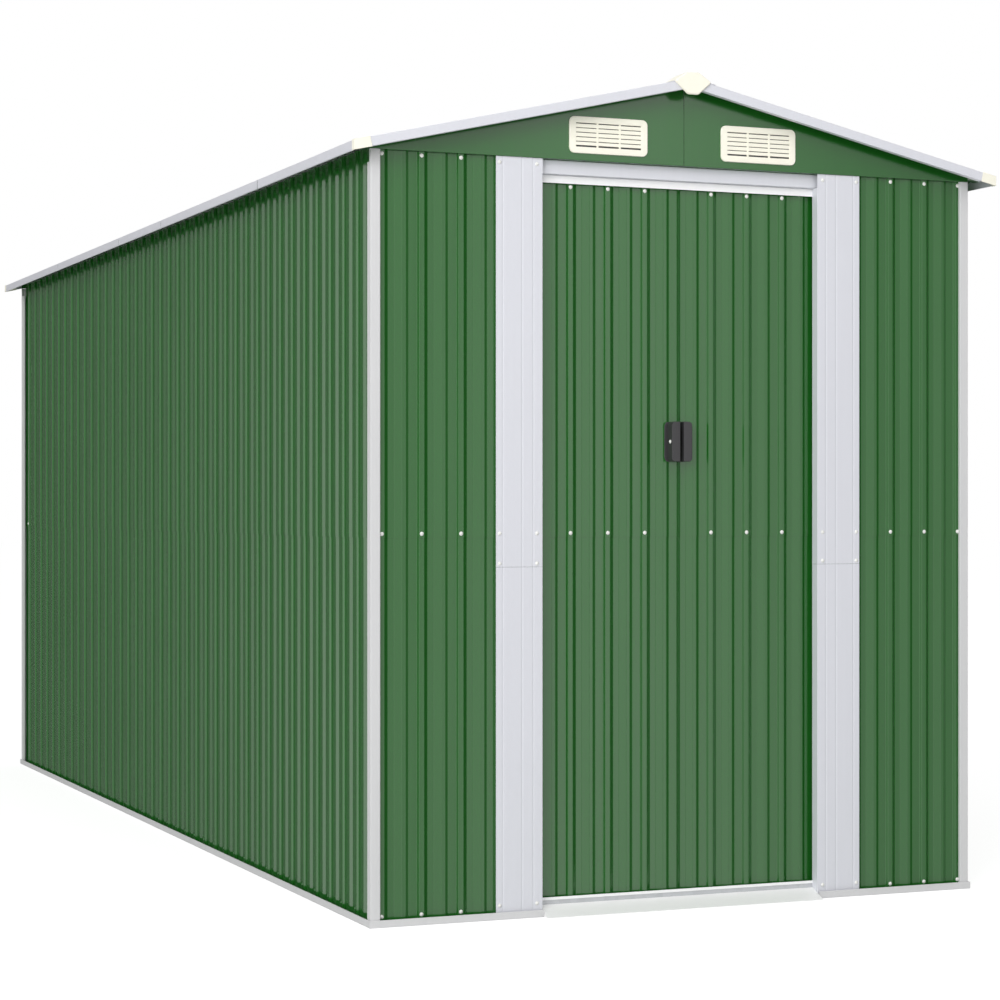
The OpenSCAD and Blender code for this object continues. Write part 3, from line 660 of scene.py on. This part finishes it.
cream_plastic = moulded_plastic("cream_polypropylene", "#fffcec", 0.45, 1.5, 0.04)
black_plastic = moulded_plastic("black_polypropylene", "#3a393b", 0.5, 1.5, 0.12)


def round_box(half_a, half_b, radius, steps=6):
    """Outline of a rectangle with round corners, from the middle of its right side."""
    t = np.linspace(0, np.pi / 2, steps)
    arc = np.stack([np.cos(t), np.sin(t)], axis=1) * radius
    corner = arc + (half_a - radius, half_b - radius)
    top = np.concatenate([corner, (corner * (-1, 1))[::-1]])
    return np.concatenate([top, (top * (1, -1))[::-1]])


def ring_faces(grid):
    """Points and quads of a grid that closes on itself both ways, as a ring does."""
    rows, ring = grid.shape[:2]
    row = np.arange(rows)[:, None] * ring
    below = (np.arange(rows)[:, None] + 1) % rows * ring
    here = np.arange(ring)[None, :]
    after = (here + 1) % ring
    quads = np.stack([row + here, row + after, below + after, below + here], axis=-1)
    return grid.reshape(-1, 3), quads.reshape(-1, 4)


def vent_shells(wall, middle, half_b):
    """Rim, blades and bars of one vent. The rim's section runs from its outer edge over a rounded
    shoulder to the field's edge, the blades fill what the slots leave of the field, and the two bars
    part it in three equal fields."""
    along, out = wall[1:]
    field_a = VENT_HALF - VENT_SIDE
    outer = round_box(VENT_HALF, half_b, VENT_R)
    third = VENT_ROUND / 3
    shoulder = round_box(VENT_HALF - third, half_b - third, VENT_R - third)
    crown = round_box(VENT_HALF - VENT_ROUND, half_b - VENT_ROUND, VENT_R - VENT_ROUND)
    field = round_box(field_a, VENT_FIELD, VENT_FIELD_R)
    lip = round_box(field_a + VENT_LIP, VENT_FIELD + VENT_LIP, VENT_FIELD_R + VENT_LIP)
    rows = [(outer, VENT_BACK), (outer, VENT_FRONT - VENT_ROUND), (shoulder, VENT_FRONT - third),
            (crown, VENT_FRONT), (lip, VENT_FRONT), (field, VENT_FRONT - VENT_LIP), (field, VENT_BACK)]
    rim = np.stack([middle + line[:, :1] * along + line[:, 1:] * Z + level * out for line, level in rows])
    slot_h = np.full(VENT_ROWS, VENT_SLOT)
    slot_h[[0, -1]] = VENT_LOW_SLOT, VENT_TOP_SLOT
    slot_z = np.linspace(-VENT_FIELD + VENT_LOW_SLOT / 2, VENT_FIELD - VENT_TOP_SLOT / 2, VENT_ROWS)
    blade_low = (slot_z + slot_h / 2)[:-1]
    blade_high = (slot_z - slot_h / 2)[1:]
    blades = [carry(bar(VENT_BACK + SHADE_SHEET_T, BLADE_FRONT, low, high, BLADE_R), [-field_a, field_a],
                    middle, out, Z, along) for low, high in zip(blade_low, blade_high)]
    bar_x = (field_a + VENT_BAR / 2) / FIELDS
    upright = bar(-VENT_BAR / 2, VENT_BAR / 2, VENT_BACK + SHADE_SHEET_T, VENT_FRONT, BLADE_R)
    bars = [carry(upright, [-VENT_FIELD, VENT_FIELD], middle + x * along, along, out, Z)
            for x in (-bar_x, bar_x)]
    return [ring_faces(rim), *blades, *bars]


def vent_shade_sheet(wall, middle):
    """Dark sheet behind a vent's slots: painted shade that darkens the slots."""
    along, out = wall[1:]
    field_a = VENT_HALF - VENT_SIDE
    sheet = bar(VENT_BACK, VENT_BACK + SHADE_SHEET_T, -VENT_FIELD, VENT_FIELD, SHADE_SHEET_T / 4)
    return carry(sheet, [-field_a, field_a], middle, out, Z, along)


for end, wall in (("front", FRONT), ("back", BACK)):
    low, high = node_box(f"{end}_vents")
    middle_z = (high[2] + low[2]) / 2 * Z
    middles = [wall[0] + side_x * (high[0] - VENT_HALF) * X + middle_z for side_x in (-1, 1)]
    grilles = [vent_shells(wall, middle, (high[2] - low[2]) / 2) for middle in middles]
    build(f"{end}_vents", sum(grilles, []), cream_plastic, "shed", "cream_plastic", f"{end}_vents")
    # Painted shade: a black sheet behind each vent's slots makes them read dark.
    build(f"{end}_vent_shade_sheet", [vent_shade_sheet(wall, middle) for middle in middles],
          black_plastic, "shed", "black_plastic")

# Roof beams: a galvanised ridge beam folded to both slopes and a galvanised purlin halfway down each,
# open side down, from gable to gable.
BEAM_D = 28.0
BEAM_HALF = 40.0
beam_low, beam_high = node_box("ridge_beam")
beam_seat = peak_z - seat_drop
flank_z = beam_seat - RISE * BEAM_HALF
beam_line = [(-BEAM_HALF, flank_z - BEAM_D), (-BEAM_HALF, flank_z), (0, beam_seat),
             (BEAM_HALF, flank_z), (BEAM_HALF, flank_z - BEAM_D)]
beam = skin(eased(beam_line, FOLD_R), FOLD_T)
build("ridge_beam", [carry(beam, [beam_low[1], beam_high[1]], 0 * X, X, Z, Y)],
      zinc_coat, "shed", "zinc", "ridge_beam")
purlin_u = half_w / math.cos(PITCH_ANGLE) / 2
purlin_n = -seat_drop * math.cos(PITCH_ANGLE)
purlin_a = purlin_u - BEAM_HALF / 2
purlin_b = purlin_u + BEAM_HALF / 2
purlin_line = [(purlin_a, purlin_n - BEAM_D), (purlin_a, purlin_n),
               (purlin_b, purlin_n), (purlin_b, purlin_n - BEAM_D)]
purlin = skin(eased(purlin_line, FOLD_R), FOLD_T)
peak = peak_z * Z


def slope(side_x):
    """Ways down a roof slope and out of it."""
    down = side_x * math.cos(PITCH_ANGLE) * X - math.sin(PITCH_ANGLE) * Z
    out = side_x * math.sin(PITCH_ANGLE) * X + math.cos(PITCH_ANGLE) * Z
    return down, out


for side, side_x in (("left", -1), ("right", 1)):
    down, out = slope(side_x)
    build(f"{side}_purlin", [carry(purlin, [beam_low[1], beam_high[1]], peak, down, out, Y)],
          zinc_coat, "shed", "zinc", f"{side}_purlin")

# Roof sheets: the same green ribbed sheet, laid with its ribs down the slope, screwed to the beams
# through the crests of every other tall rib.
ROOF_CREST = -1.5
RIDGE_GAP = 10.0
ROOF_SCREW_TOP = 110.0
ROOF_SCREW_LOW = 880.0
ROOF_SCREW_MARGIN = 40.0
roof_high = node_box("roof_right")[1]
roof_end = roof_high[1]
eave_u = roof_high[0] / math.cos(PITCH_ANGLE)
sheet_section = ribbed(0.0, -roof_end, roof_end, TALL_H - ROOF_CREST)
roof_screw_u = [ROOF_SCREW_TOP, purlin_u, ROOF_SCREW_LOW]
roof_screw_y = crest_places(0.0, -roof_end, roof_end, ROOF_SCREW_MARGIN)[::2]
for side, side_x in (("left", -1), ("right", 1)):
    down, out = slope(side_x)
    node = f"roof_{side}"
    build(node, [carry(sheet_section, [RIDGE_GAP, eave_u], peak, Y, out, down)],
          green_coat, "shed", "green_sheet", node)
    u, y = np.meshgrid(roof_screw_u, roof_screw_y)
    seats = peak + u.reshape(-1, 1) * down + y.reshape(-1, 1) * Y + ROOF_CREST * out
    screws(f"{node}_screws", seats, out, Y, "shed")

# Roof trims: white coated steel channels, folded and clipped over the edges of the roof. The eave trims
# come in five lengths a side with open joints, and the rake trims run from the ridge to the corners.
TRIM_T = 1.2
TRIM_H = 26.0
TRIM_FLANGE = 30.0
TRIM_LIP = 15.0
EAVE_LIP = 4.0
TRIM_R = 2.0
TRIM_JOINTS = np.array([-1370.0, -315.0, 245.0, 1200.0])
TRIM_GAP = 6.0
CORNER_CAP_W = 42.0
CORNER_GAP = 0.3
eave_low, eave_high = node_box("eave_trim_right")
roof_x = eave_high[0]
eave_end = eave_high[1]
eave_foot = eave_low[2]


def roof_top(x):
    """Height of the trims' upper face at a distance from the ridge."""
    return peak_z - RISE * x


eave_line = [(roof_x - TRIM_FLANGE, roof_top(roof_x - TRIM_FLANGE)), (roof_x, roof_top(roof_x)),
             (roof_x, eave_foot), (roof_x - EAVE_LIP, eave_foot)]
eave_section = skin(eased(eave_line, TRIM_R), TRIM_T)
eave_starts = np.concatenate([[-eave_end], TRIM_JOINTS + TRIM_GAP / 2])
eave_stops = np.concatenate([TRIM_JOINTS - TRIM_GAP / 2, [eave_end]])
for side, side_x in (("left", -1), ("right", 1)):
    lengths = [carry(eave_section, [start, stop], 0 * X, side_x * X, Z, Y)
               for start, stop in zip(eave_starts, eave_stops)]
    build(f"eave_trim_{side}", lengths, white_coat, "shed", "white_trim", f"eave_trim_{side}")

roof_y = ridge_cap_high[1]
rake_foot = -TRIM_H * math.cos(PITCH_ANGLE)
corner_u = (roof_x - CORNER_CAP_W) / math.cos(PITCH_ANGLE) - CORNER_GAP
rake_line = [(-roof_y + TRIM_LIP, rake_foot), (-roof_y, rake_foot),
             (-roof_y, 0), (-roof_y + TRIM_FLANGE, 0)]
rake_section = skin(eased(rake_line, TRIM_R), TRIM_T)
for end, side_y in (("front", 1), ("back", -1)):
    runs = [carry(rake_section, [RIDGE_GAP, corner_u], peak, side_y * Y, out, down)
            for down, out in (slope(-1), slope(1))]
    build(f"rake_trim_{end}", runs, white_coat, "shed", "white_trim", f"rake_trim_{end}")

# Ridge cap: a white coated steel strip bent along its middle and laid over the tops of both roof sheets.
# It runs from rake trim to rake trim, and the moulded caps grip its ends.
CAP_HALF = 70.0
CAP_R = 6.0
cap_edge_z = roof_top(CAP_HALF) + CAP_N / math.cos(PITCH_ANGLE)
cap_line = eased([(-CAP_HALF, cap_edge_z), (0, ridge_cap_high[2]), (CAP_HALF, cap_edge_z)], CAP_R)
build("ridge_cap", [carry(skin(cap_line, TRIM_T), [-roof_y, roof_y], 0 * X, X, Z, Y)],
      white_coat, "shed", "white_trim", "ridge_cap")

# Moulded caps: cream polypropylene pieces that close the ends of the ridge and the corners of the roof.
# A ridge cap is a shield with a bevelled rim in front of a crowned saddle that grips the ridge.
SHIELD_PROUD = 6.0
SHIELD_FOOT = 15.6
SHIELD_CROWN = 17.0
SHIELD_BEVEL = 2.5
SHIELD_R = 5.0
SHIELD_LIP = 1.2
SADDLE_LEN = 68.0
SADDLE_T = 2.0
SADDLE_N = 3.8
CAP_BEVEL = 0.8
MERGE_GAP = 0.01
FLAT_ANGLE = 0.02
cap_low, cap_high = node_box("ridge_end_caps")
shield_half = cap_high[0]
saddle_rim = roof_top(shield_half) + SADDLE_N / math.cos(PITCH_ANGLE)
crown = [(SHIELD_CROWN, cap_high[2]), (shield_half, saddle_rim)]
shield_right = [(0, cap_high[2]), *crown, (shield_half, roof_top(shield_half) - SHIELD_LIP),
                (SHIELD_FOOT, cap_low[2]), (0, cap_low[2])]


def whole(half, flip):
    """Closed outline from a half that starts and ends on the line it is mirrored in."""
    return np.concatenate([half, (half[1:-1] * flip)[::-1]])


def pressed(outline, levels, insets, origin, first, second, out):
    """Plate with a shaped rim: its outline, taken clockwise, repeated at each level along the way out,
    moved in by that level's inset along (n0 + n1) / (1 + n0 n1), with n0 and n1 the inward normals of
    the two sides at a point, and closed across both ends."""
    side = np.roll(outline, -1, axis=0) - outline
    side /= np.linalg.norm(side, axis=1, keepdims=True)
    after = np.stack([side[:, 1], -side[:, 0]], axis=1)
    before = np.roll(after, 1, axis=0)
    inward = (before + after) / (1 + (before * after).sum(axis=1, keepdims=True))
    rings = [outline + inset * inward for inset in insets]
    grid = [origin + ring[:, :1] * first + ring[:, 1:] * second + level * out
            for ring, level in zip(rings, levels)]
    return shell(np.stack(grid))


shield = whole(eased(shield_right, SHIELD_R), (-1, 1))
saddle_line = [(-x, z) for x, z in crown[::-1]] + crown
saddle = skin(eased(saddle_line, SHIELD_R), SADDLE_T)
end_caps = []
for side_y in (-1, 1):
    face = side_y * (cap_high[1] - SHIELD_PROUD) * Y
    end_caps.append(pressed(shield, [0, SHIELD_PROUD - SHIELD_BEVEL, SHIELD_PROUD], [0, 0, SHIELD_BEVEL],
                            face, X, Z, side_y * Y))
    end_caps.append(carry(saddle, [0, SADDLE_LEN - SHIELD_PROUD], face, X, Z, -side_y * Y))
build("ridge_end_caps", end_caps, cream_plastic, "shed", "cream_plastic", "ridge_end_caps")


def rounded_copy(node, finish, body, slot, width):
    """Copy of a CAD node with its doubled points merged, its flat faces whole and its edges rounded."""
    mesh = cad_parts[node].data.copy()
    mesh.materials.clear()
    work = bmesh.new()
    work.from_mesh(mesh)
    bmesh.ops.remove_doubles(work, verts=work.verts, dist=MERGE_GAP * MM)
    bmesh.ops.dissolve_limit(work, angle_limit=FLAT_ANGLE, verts=work.verts, edges=work.edges)
    work.to_mesh(mesh)
    work.free()
    piece = dress(f"{node}_moulding", mesh, finish, body, slot, node)
    edge = piece.modifiers.new("rounded edges", "BEVEL")
    edge.width = width * MM
    edge.segments = 2
    edge.limit_method = "ANGLE"
    piece.modifiers.move(len(piece.modifiers) - 1, 0)


rounded_copy("corner_caps", cream_plastic, "shed", "cream_plastic", CAP_BEVEL)

# Doors: two sliding leaves of green ribbed sheet, lapped like the walls, on a frame of galvanised
# channels that stand open side to the sheet. Where the leaves meet, the sheet is folded round the frame.
DOOR_CREST = 41.0
DOOR_FRAME_W = 28.0
DOOR_TURN_STOP = 0.6
DOOR_TURN_ROOM = 2.8
DOOR_JOINT = 0.3
DOOR_SEAM = 0.4
DOOR_MEET = 2.0
DOOR_SCREW_TOP = 1933.0
DOOR_SCREW_MARGIN = 20.0
DOOR_FIRST = 100.5
door_mid = SEAM_Z + SEAM_LAP / 2
leaf_low, leaf_high = node_box("right_door_frame")
frame_out = -half_d - leaf_low[1]
frame_in = -half_d - leaf_high[1]
stile = np.array([(DOOR_FRAME_W, frame_out), (DOOR_FRAME_W, frame_in), (0, frame_in), (0, frame_out)])
stile_section = skin(eased(stile, FOLD_R), FOLD_T)
cross_section = skin(eased(stile[::-1, ::-1] - (0, DOOR_FRAME_W / 2), FOLD_R), FOLD_T)
for side, side_x in (("left", -1), ("right", 1)):
    body = f"{side}_door"
    low, high = node_box(f"{side}_door_sheet")
    first = side_x * DOOR_FIRST
    sheet_start = low[0] if side_x < 0 else DOOR_MEET + DOOR_SEAM / 2
    sheet_end = DOOR_MEET - DOOR_SEAM / 2 if side_x < 0 else high[0]
    sheets = wall_skin(FRONT, first, sheet_start, sheet_end, low[2], high[2], DOOR_CREST,
                       -side_x, frame_in + DOOR_TURN_STOP)
    build(f"{side}_door_sheet", sheets, green_coat, body, "green_sheet", f"{side}_door_sheet")
    places = crest_places(first, low[0], high[0], DOOR_SCREW_MARGIN)
    seats = seats_on(FRONT, places, [SEAM_SCREW_Z, DOOR_SCREW_TOP], DOOR_CREST)
    screws(f"{side}_door_screws", seats, -Y, Z, body)
    frame_start = low[0] + max(side_x, 0) * DOOR_TURN_ROOM
    frame_end = high[0] - max(-side_x, 0) * DOOR_TURN_ROOM
    stiles = [carry(stile_section, [low[2], high[2]], FRONT[0] + x * X, X, -Y, Z)
              for x in (frame_start, frame_end - DOOR_FRAME_W)]
    cross_ends = [frame_start + DOOR_FRAME_W + DOOR_JOINT, frame_end - DOOR_FRAME_W - DOOR_JOINT]
    cross_z = (low[2] + DOOR_FRAME_W / 2, door_mid, high[2] - DOOR_FRAME_W / 2)
    crosses = [carry(cross_section, cross_ends, FRONT[0] + z * Z, -Y, Z, X) for z in cross_z]
    build(f"{side}_door_frame", stiles + crosses, zinc_coat, body, "zinc", f"{side}_door_frame")

# Door handles and gliders: black moulded polypropylene. Each handle is a block with rounded outer corners
# on a thin flange, held by one screw in its side, and gliders guide the doors in both tracks.
GRIP_W = 26.0
GRIP_R = 15.0
GRIP_ROUND = 2.5
GRIP_INNER = 5.0
GRIP_SCREW_DEPTH = 22.0
FLANGE_W = 33.0
FLANGE_T = 3.0
FLANGE_R = 16.0
FLANGE_ROUND = 1.0
FLANGE_BACK = -45.7
GLIDER_ROUND = 1.0
CORNER_STEPS = 9
handle_low, handle_high = node_box("right_door_handle")
grip_out = -half_d - handle_low[1]
half_z = (handle_high[2] - handle_low[2]) / 2
handle_z = (handle_high[2] + handle_low[2]) / 2
flange_front = FLANGE_BACK + FLANGE_T


def tongue(width, radius):
    """Clockwise outline of a plate, square on its left side and rounded on its right."""
    upper = eased([(0, half_z), (width, half_z), (width, 0)], radius, CORNER_STEPS)[:-1]
    return np.concatenate([upper, (upper * (1, -1))[::-1]])


for side, side_x in (("left", -1), ("right", 1)):
    body = f"{side}_door"
    node = f"{side}_door_handle"
    origin = FRONT[0] + handle_z * Z + GRIP_INNER * side_x * X
    right = side_x * X
    plate = pressed(tongue(FLANGE_W, FLANGE_R), [FLANGE_BACK, flange_front - FLANGE_ROUND, flange_front],
                    [0, 0, FLANGE_ROUND], origin, right, Z, -Y)
    grip = pressed(tongue(GRIP_W, GRIP_R),
                   [flange_front, grip_out - GRIP_ROUND, grip_out - GRIP_ROUND / 3, grip_out],
                   [0, 0, GRIP_ROUND / 3, GRIP_ROUND], origin, right, Z, -Y)
    build(node, [plate, grip], black_plastic, body, "black_plastic", node)
    screws(f"{node}_screw", [origin + GRIP_W * right + GRIP_SCREW_DEPTH * Y], right, Z, body)
    rounded_copy(f"{side}_door_gliders", black_plastic, body, "black_plastic", GLIDER_ROUND)

# Studio: a white paper floor in a white surround, with a large soft lamp at the front left and a smaller
# one over the front. The surround has darker and lighter stretches that show only in reflections, as
# black and white screens do.
SENSOR_W = 36.0
LENS_PX = 2433.53
FRAME_PX = 1000.0
AXIS_X_PX = 433.34
AXIS_Y_PX = 507.10
CAMERA_AT = (-3.0286, -8.0158, 1.0801)
CAMERA_YAW = 0.374
FLOOR_HALF = 60.0
SURROUND = 0.48
FLOOR_GLOW = 0.78
LEFT_LAMP_AT = (-11.4, -11.2, 5.4)
LEFT_LAMP_AIM = (-0.4, -2.0, 1.0)
LEFT_LAMP_SIZE = 8.9
LEFT_LAMP_LEVEL = 4.75
TOP_LAMP_AT = (-0.6, -5.6, 6.0)
TOP_LAMP_AIM = (0.0, -2.3, 0.0)
TOP_LAMP_SIZE = 3.0
TOP_LAMP_LEVEL = 3.0
LEVEL_FROM = 0.35
LEVEL_TO = 0.75
# Levels that a reflection finds, by degrees round from the front to the right
SCREENS = (
    (-180, 0.8), (-177, 0.8), (-172, 0.13), (-168, 0.13), (-160, 0.21), (-153, 0.17), (-148, 0.2),
    (-146, 0.7), (-144.5, 1.55), (-141, 1.55), (-134, 1.0), (-56, 0.8), (-53, 1.4), (-48, 2.6),
    (-42, 2.6), (-36, 1.1), (5, 1.0), (8, 1.6), (11, 1.7), (13, 1.3), (20, 0.7), (22, 0.76), (24, 1.95),
    (27, 1.95), (28, 1.5), (30, 0.85), (33, 0.66), (50, 0.65), (62, 0.15), (72, 0.05), (95, 0.05),
    (108, 0.7))

scene = bpy.context.scene
scene.view_settings.view_transform = "Standard"
camera_data = bpy.data.cameras.new("camera")
camera_data.sensor_width = SENSOR_W
camera_data.lens = LENS_PX / FRAME_PX * SENSOR_W
camera_data.shift_x = (FRAME_PX / 2 - AXIS_X_PX) / FRAME_PX
camera_data.shift_y = (AXIS_Y_PX - FRAME_PX / 2) / FRAME_PX
camera = bpy.data.objects.new("camera", camera_data)
camera.location = CAMERA_AT
camera.rotation_euler = (math.pi / 2, 0, -CAMERA_YAW)
scene.collection.objects.link(camera)
scene.camera = camera


def screen_level(tree, way):
    """Level of the screens in a way: read between their stops by its angle round from the front, and
    passing to 1 where the way is steep."""
    part = add(tree, "ShaderNodeSeparateXYZ", {"Vector": way})
    front = add(tree, "ShaderNodeMath", {0: part.outputs["Y"], 1: -1.0}, operation="MULTIPLY")
    angle = add(tree, "ShaderNodeMath", {
        0: part.outputs["X"], 1: front.outputs["Value"]}, operation="ARCTAN2")
    share = add(tree, "ShaderNodeMapRange", {
        "Value": angle.outputs["Value"], "From Min": -math.pi, "From Max": math.pi})
    row = add(tree, "ShaderNodeValToRGB", {"Fac": share.outputs["Result"]})
    marks = row.color_ramp.elements
    top = max(level for degrees, level in SCREENS)
    places = [degrees / 360 + 0.5 for degrees, level in SCREENS]
    for place in places[1:-1]:
        marks.new(place)
    for mark, place, (degrees, level) in zip(marks, places, SCREENS):
        mark.position = place
        mark.color = (level / top, level / top, level / top, 1)
    level = add(tree, "ShaderNodeMath", {0: row.outputs["Color"], 1: top}, operation="MULTIPLY")
    steep = add(tree, "ShaderNodeMath", {0: part.outputs["Z"]}, operation="ABSOLUTE")
    return add(tree, "ShaderNodeMapRange", {
        "Value": steep.outputs["Value"], "From Min": LEVEL_FROM, "From Max": LEVEL_TO,
        "To Min": level.outputs["Value"], "To Max": 1.0}).outputs["Result"]


def direct_ray(tree, path):
    """One for camera and transmission rays, zero for the rest."""
    return add(tree, "ShaderNodeMath", {
        0: path.outputs["Is Camera Ray"], 1: path.outputs["Is Transmission Ray"]},
        operation="MAXIMUM").outputs["Value"]


world = bpy.data.worlds.new("white_surround")
scene.world = world
world.use_nodes = True
tree = world.node_tree
tree.nodes.clear()
path = add(tree, "ShaderNodeLightPath")
way = add(tree, "ShaderNodeTexCoord").outputs["Generated"]
scattered = add(tree, "ShaderNodeMapRange", {
    "Value": path.outputs["Is Glossy Ray"], "To Min": SURROUND, "To Max": screen_level(tree, way)})
strength = add(tree, "ShaderNodeMapRange", {
    "Value": direct_ray(tree, path), "To Min": scattered.outputs["Result"], "To Max": 1.0})
surround = add(tree, "ShaderNodeBackground", {
    "Color": (1, 1, 1, 1), "Strength": strength.outputs["Result"]})
add(tree, "ShaderNodeOutputWorld", {"Surface": surround.outputs["Background"]})

paper = bpy.data.materials.new("white_paper_floor")
paper.use_nodes = True
tree = paper.node_tree
tree.nodes.clear()
path = add(tree, "ShaderNodeLightPath")
lit = add(tree, "ShaderNodeBsdfDiffuse", {"Color": linear("#e6e6e6")})
half_lit = add(tree, "ShaderNodeBsdfDiffuse", {"Color": linear("#b4b4b4")})
glow = add(tree, "ShaderNodeEmission", {"Color": (1, 1, 1, 1), "Strength": FLOOR_GLOW})
bright = add(tree, "ShaderNodeAddShader", {0: half_lit.outputs["BSDF"], 1: glow.outputs["Emission"]})
shown = add(tree, "ShaderNodeMixShader", {
    0: direct_ray(tree, path), 1: lit.outputs["BSDF"], 2: bright.outputs["Shader"]})
add(tree, "ShaderNodeOutputMaterial", {"Surface": shown.outputs["Shader"]})
floor_mesh = bpy.data.meshes.new("floor")
floor_mesh.from_pydata([(-FLOOR_HALF, -FLOOR_HALF, 0), (FLOOR_HALF, -FLOOR_HALF, 0),
                        (FLOOR_HALF, FLOOR_HALF, 0), (-FLOOR_HALF, FLOOR_HALF, 0)], [], [(0, 1, 2, 3)])
floor_mesh.materials.append(paper)
floor = bpy.data.objects.new("floor", floor_mesh)
floor.visible_glossy = False
scene.collection.objects.link(floor)


def lamp(name, place, target, size, level):
    """Soft square lamp that faces a target: its power is pi times its area times its level."""
    data = bpy.data.lights.new(name, "AREA")
    data.shape = "SQUARE"
    data.size = size
    data.energy = math.pi * size ** 2 * level
    lamp_object = bpy.data.objects.new(name, data)
    lamp_object.location = place
    aim = np.array(target) - np.array(place)
    turn = math.atan2(aim[1], aim[0])
    tilt = math.acos(-aim[2] / np.linalg.norm(aim))
    lamp_object.rotation_euler = (tilt, 0, turn - math.pi / 2)
    lamp_object.visible_camera = False
    lamp_object.visible_glossy = False
    scene.collection.objects.link(lamp_object)


lamp("left_lamp", LEFT_LAMP_AT, LEFT_LAMP_AIM, LEFT_LAMP_SIZE, LEFT_LAMP_LEVEL)
lamp("top_lamp", TOP_LAMP_AT, TOP_LAMP_AIM, TOP_LAMP_SIZE, TOP_LAMP_LEVEL)
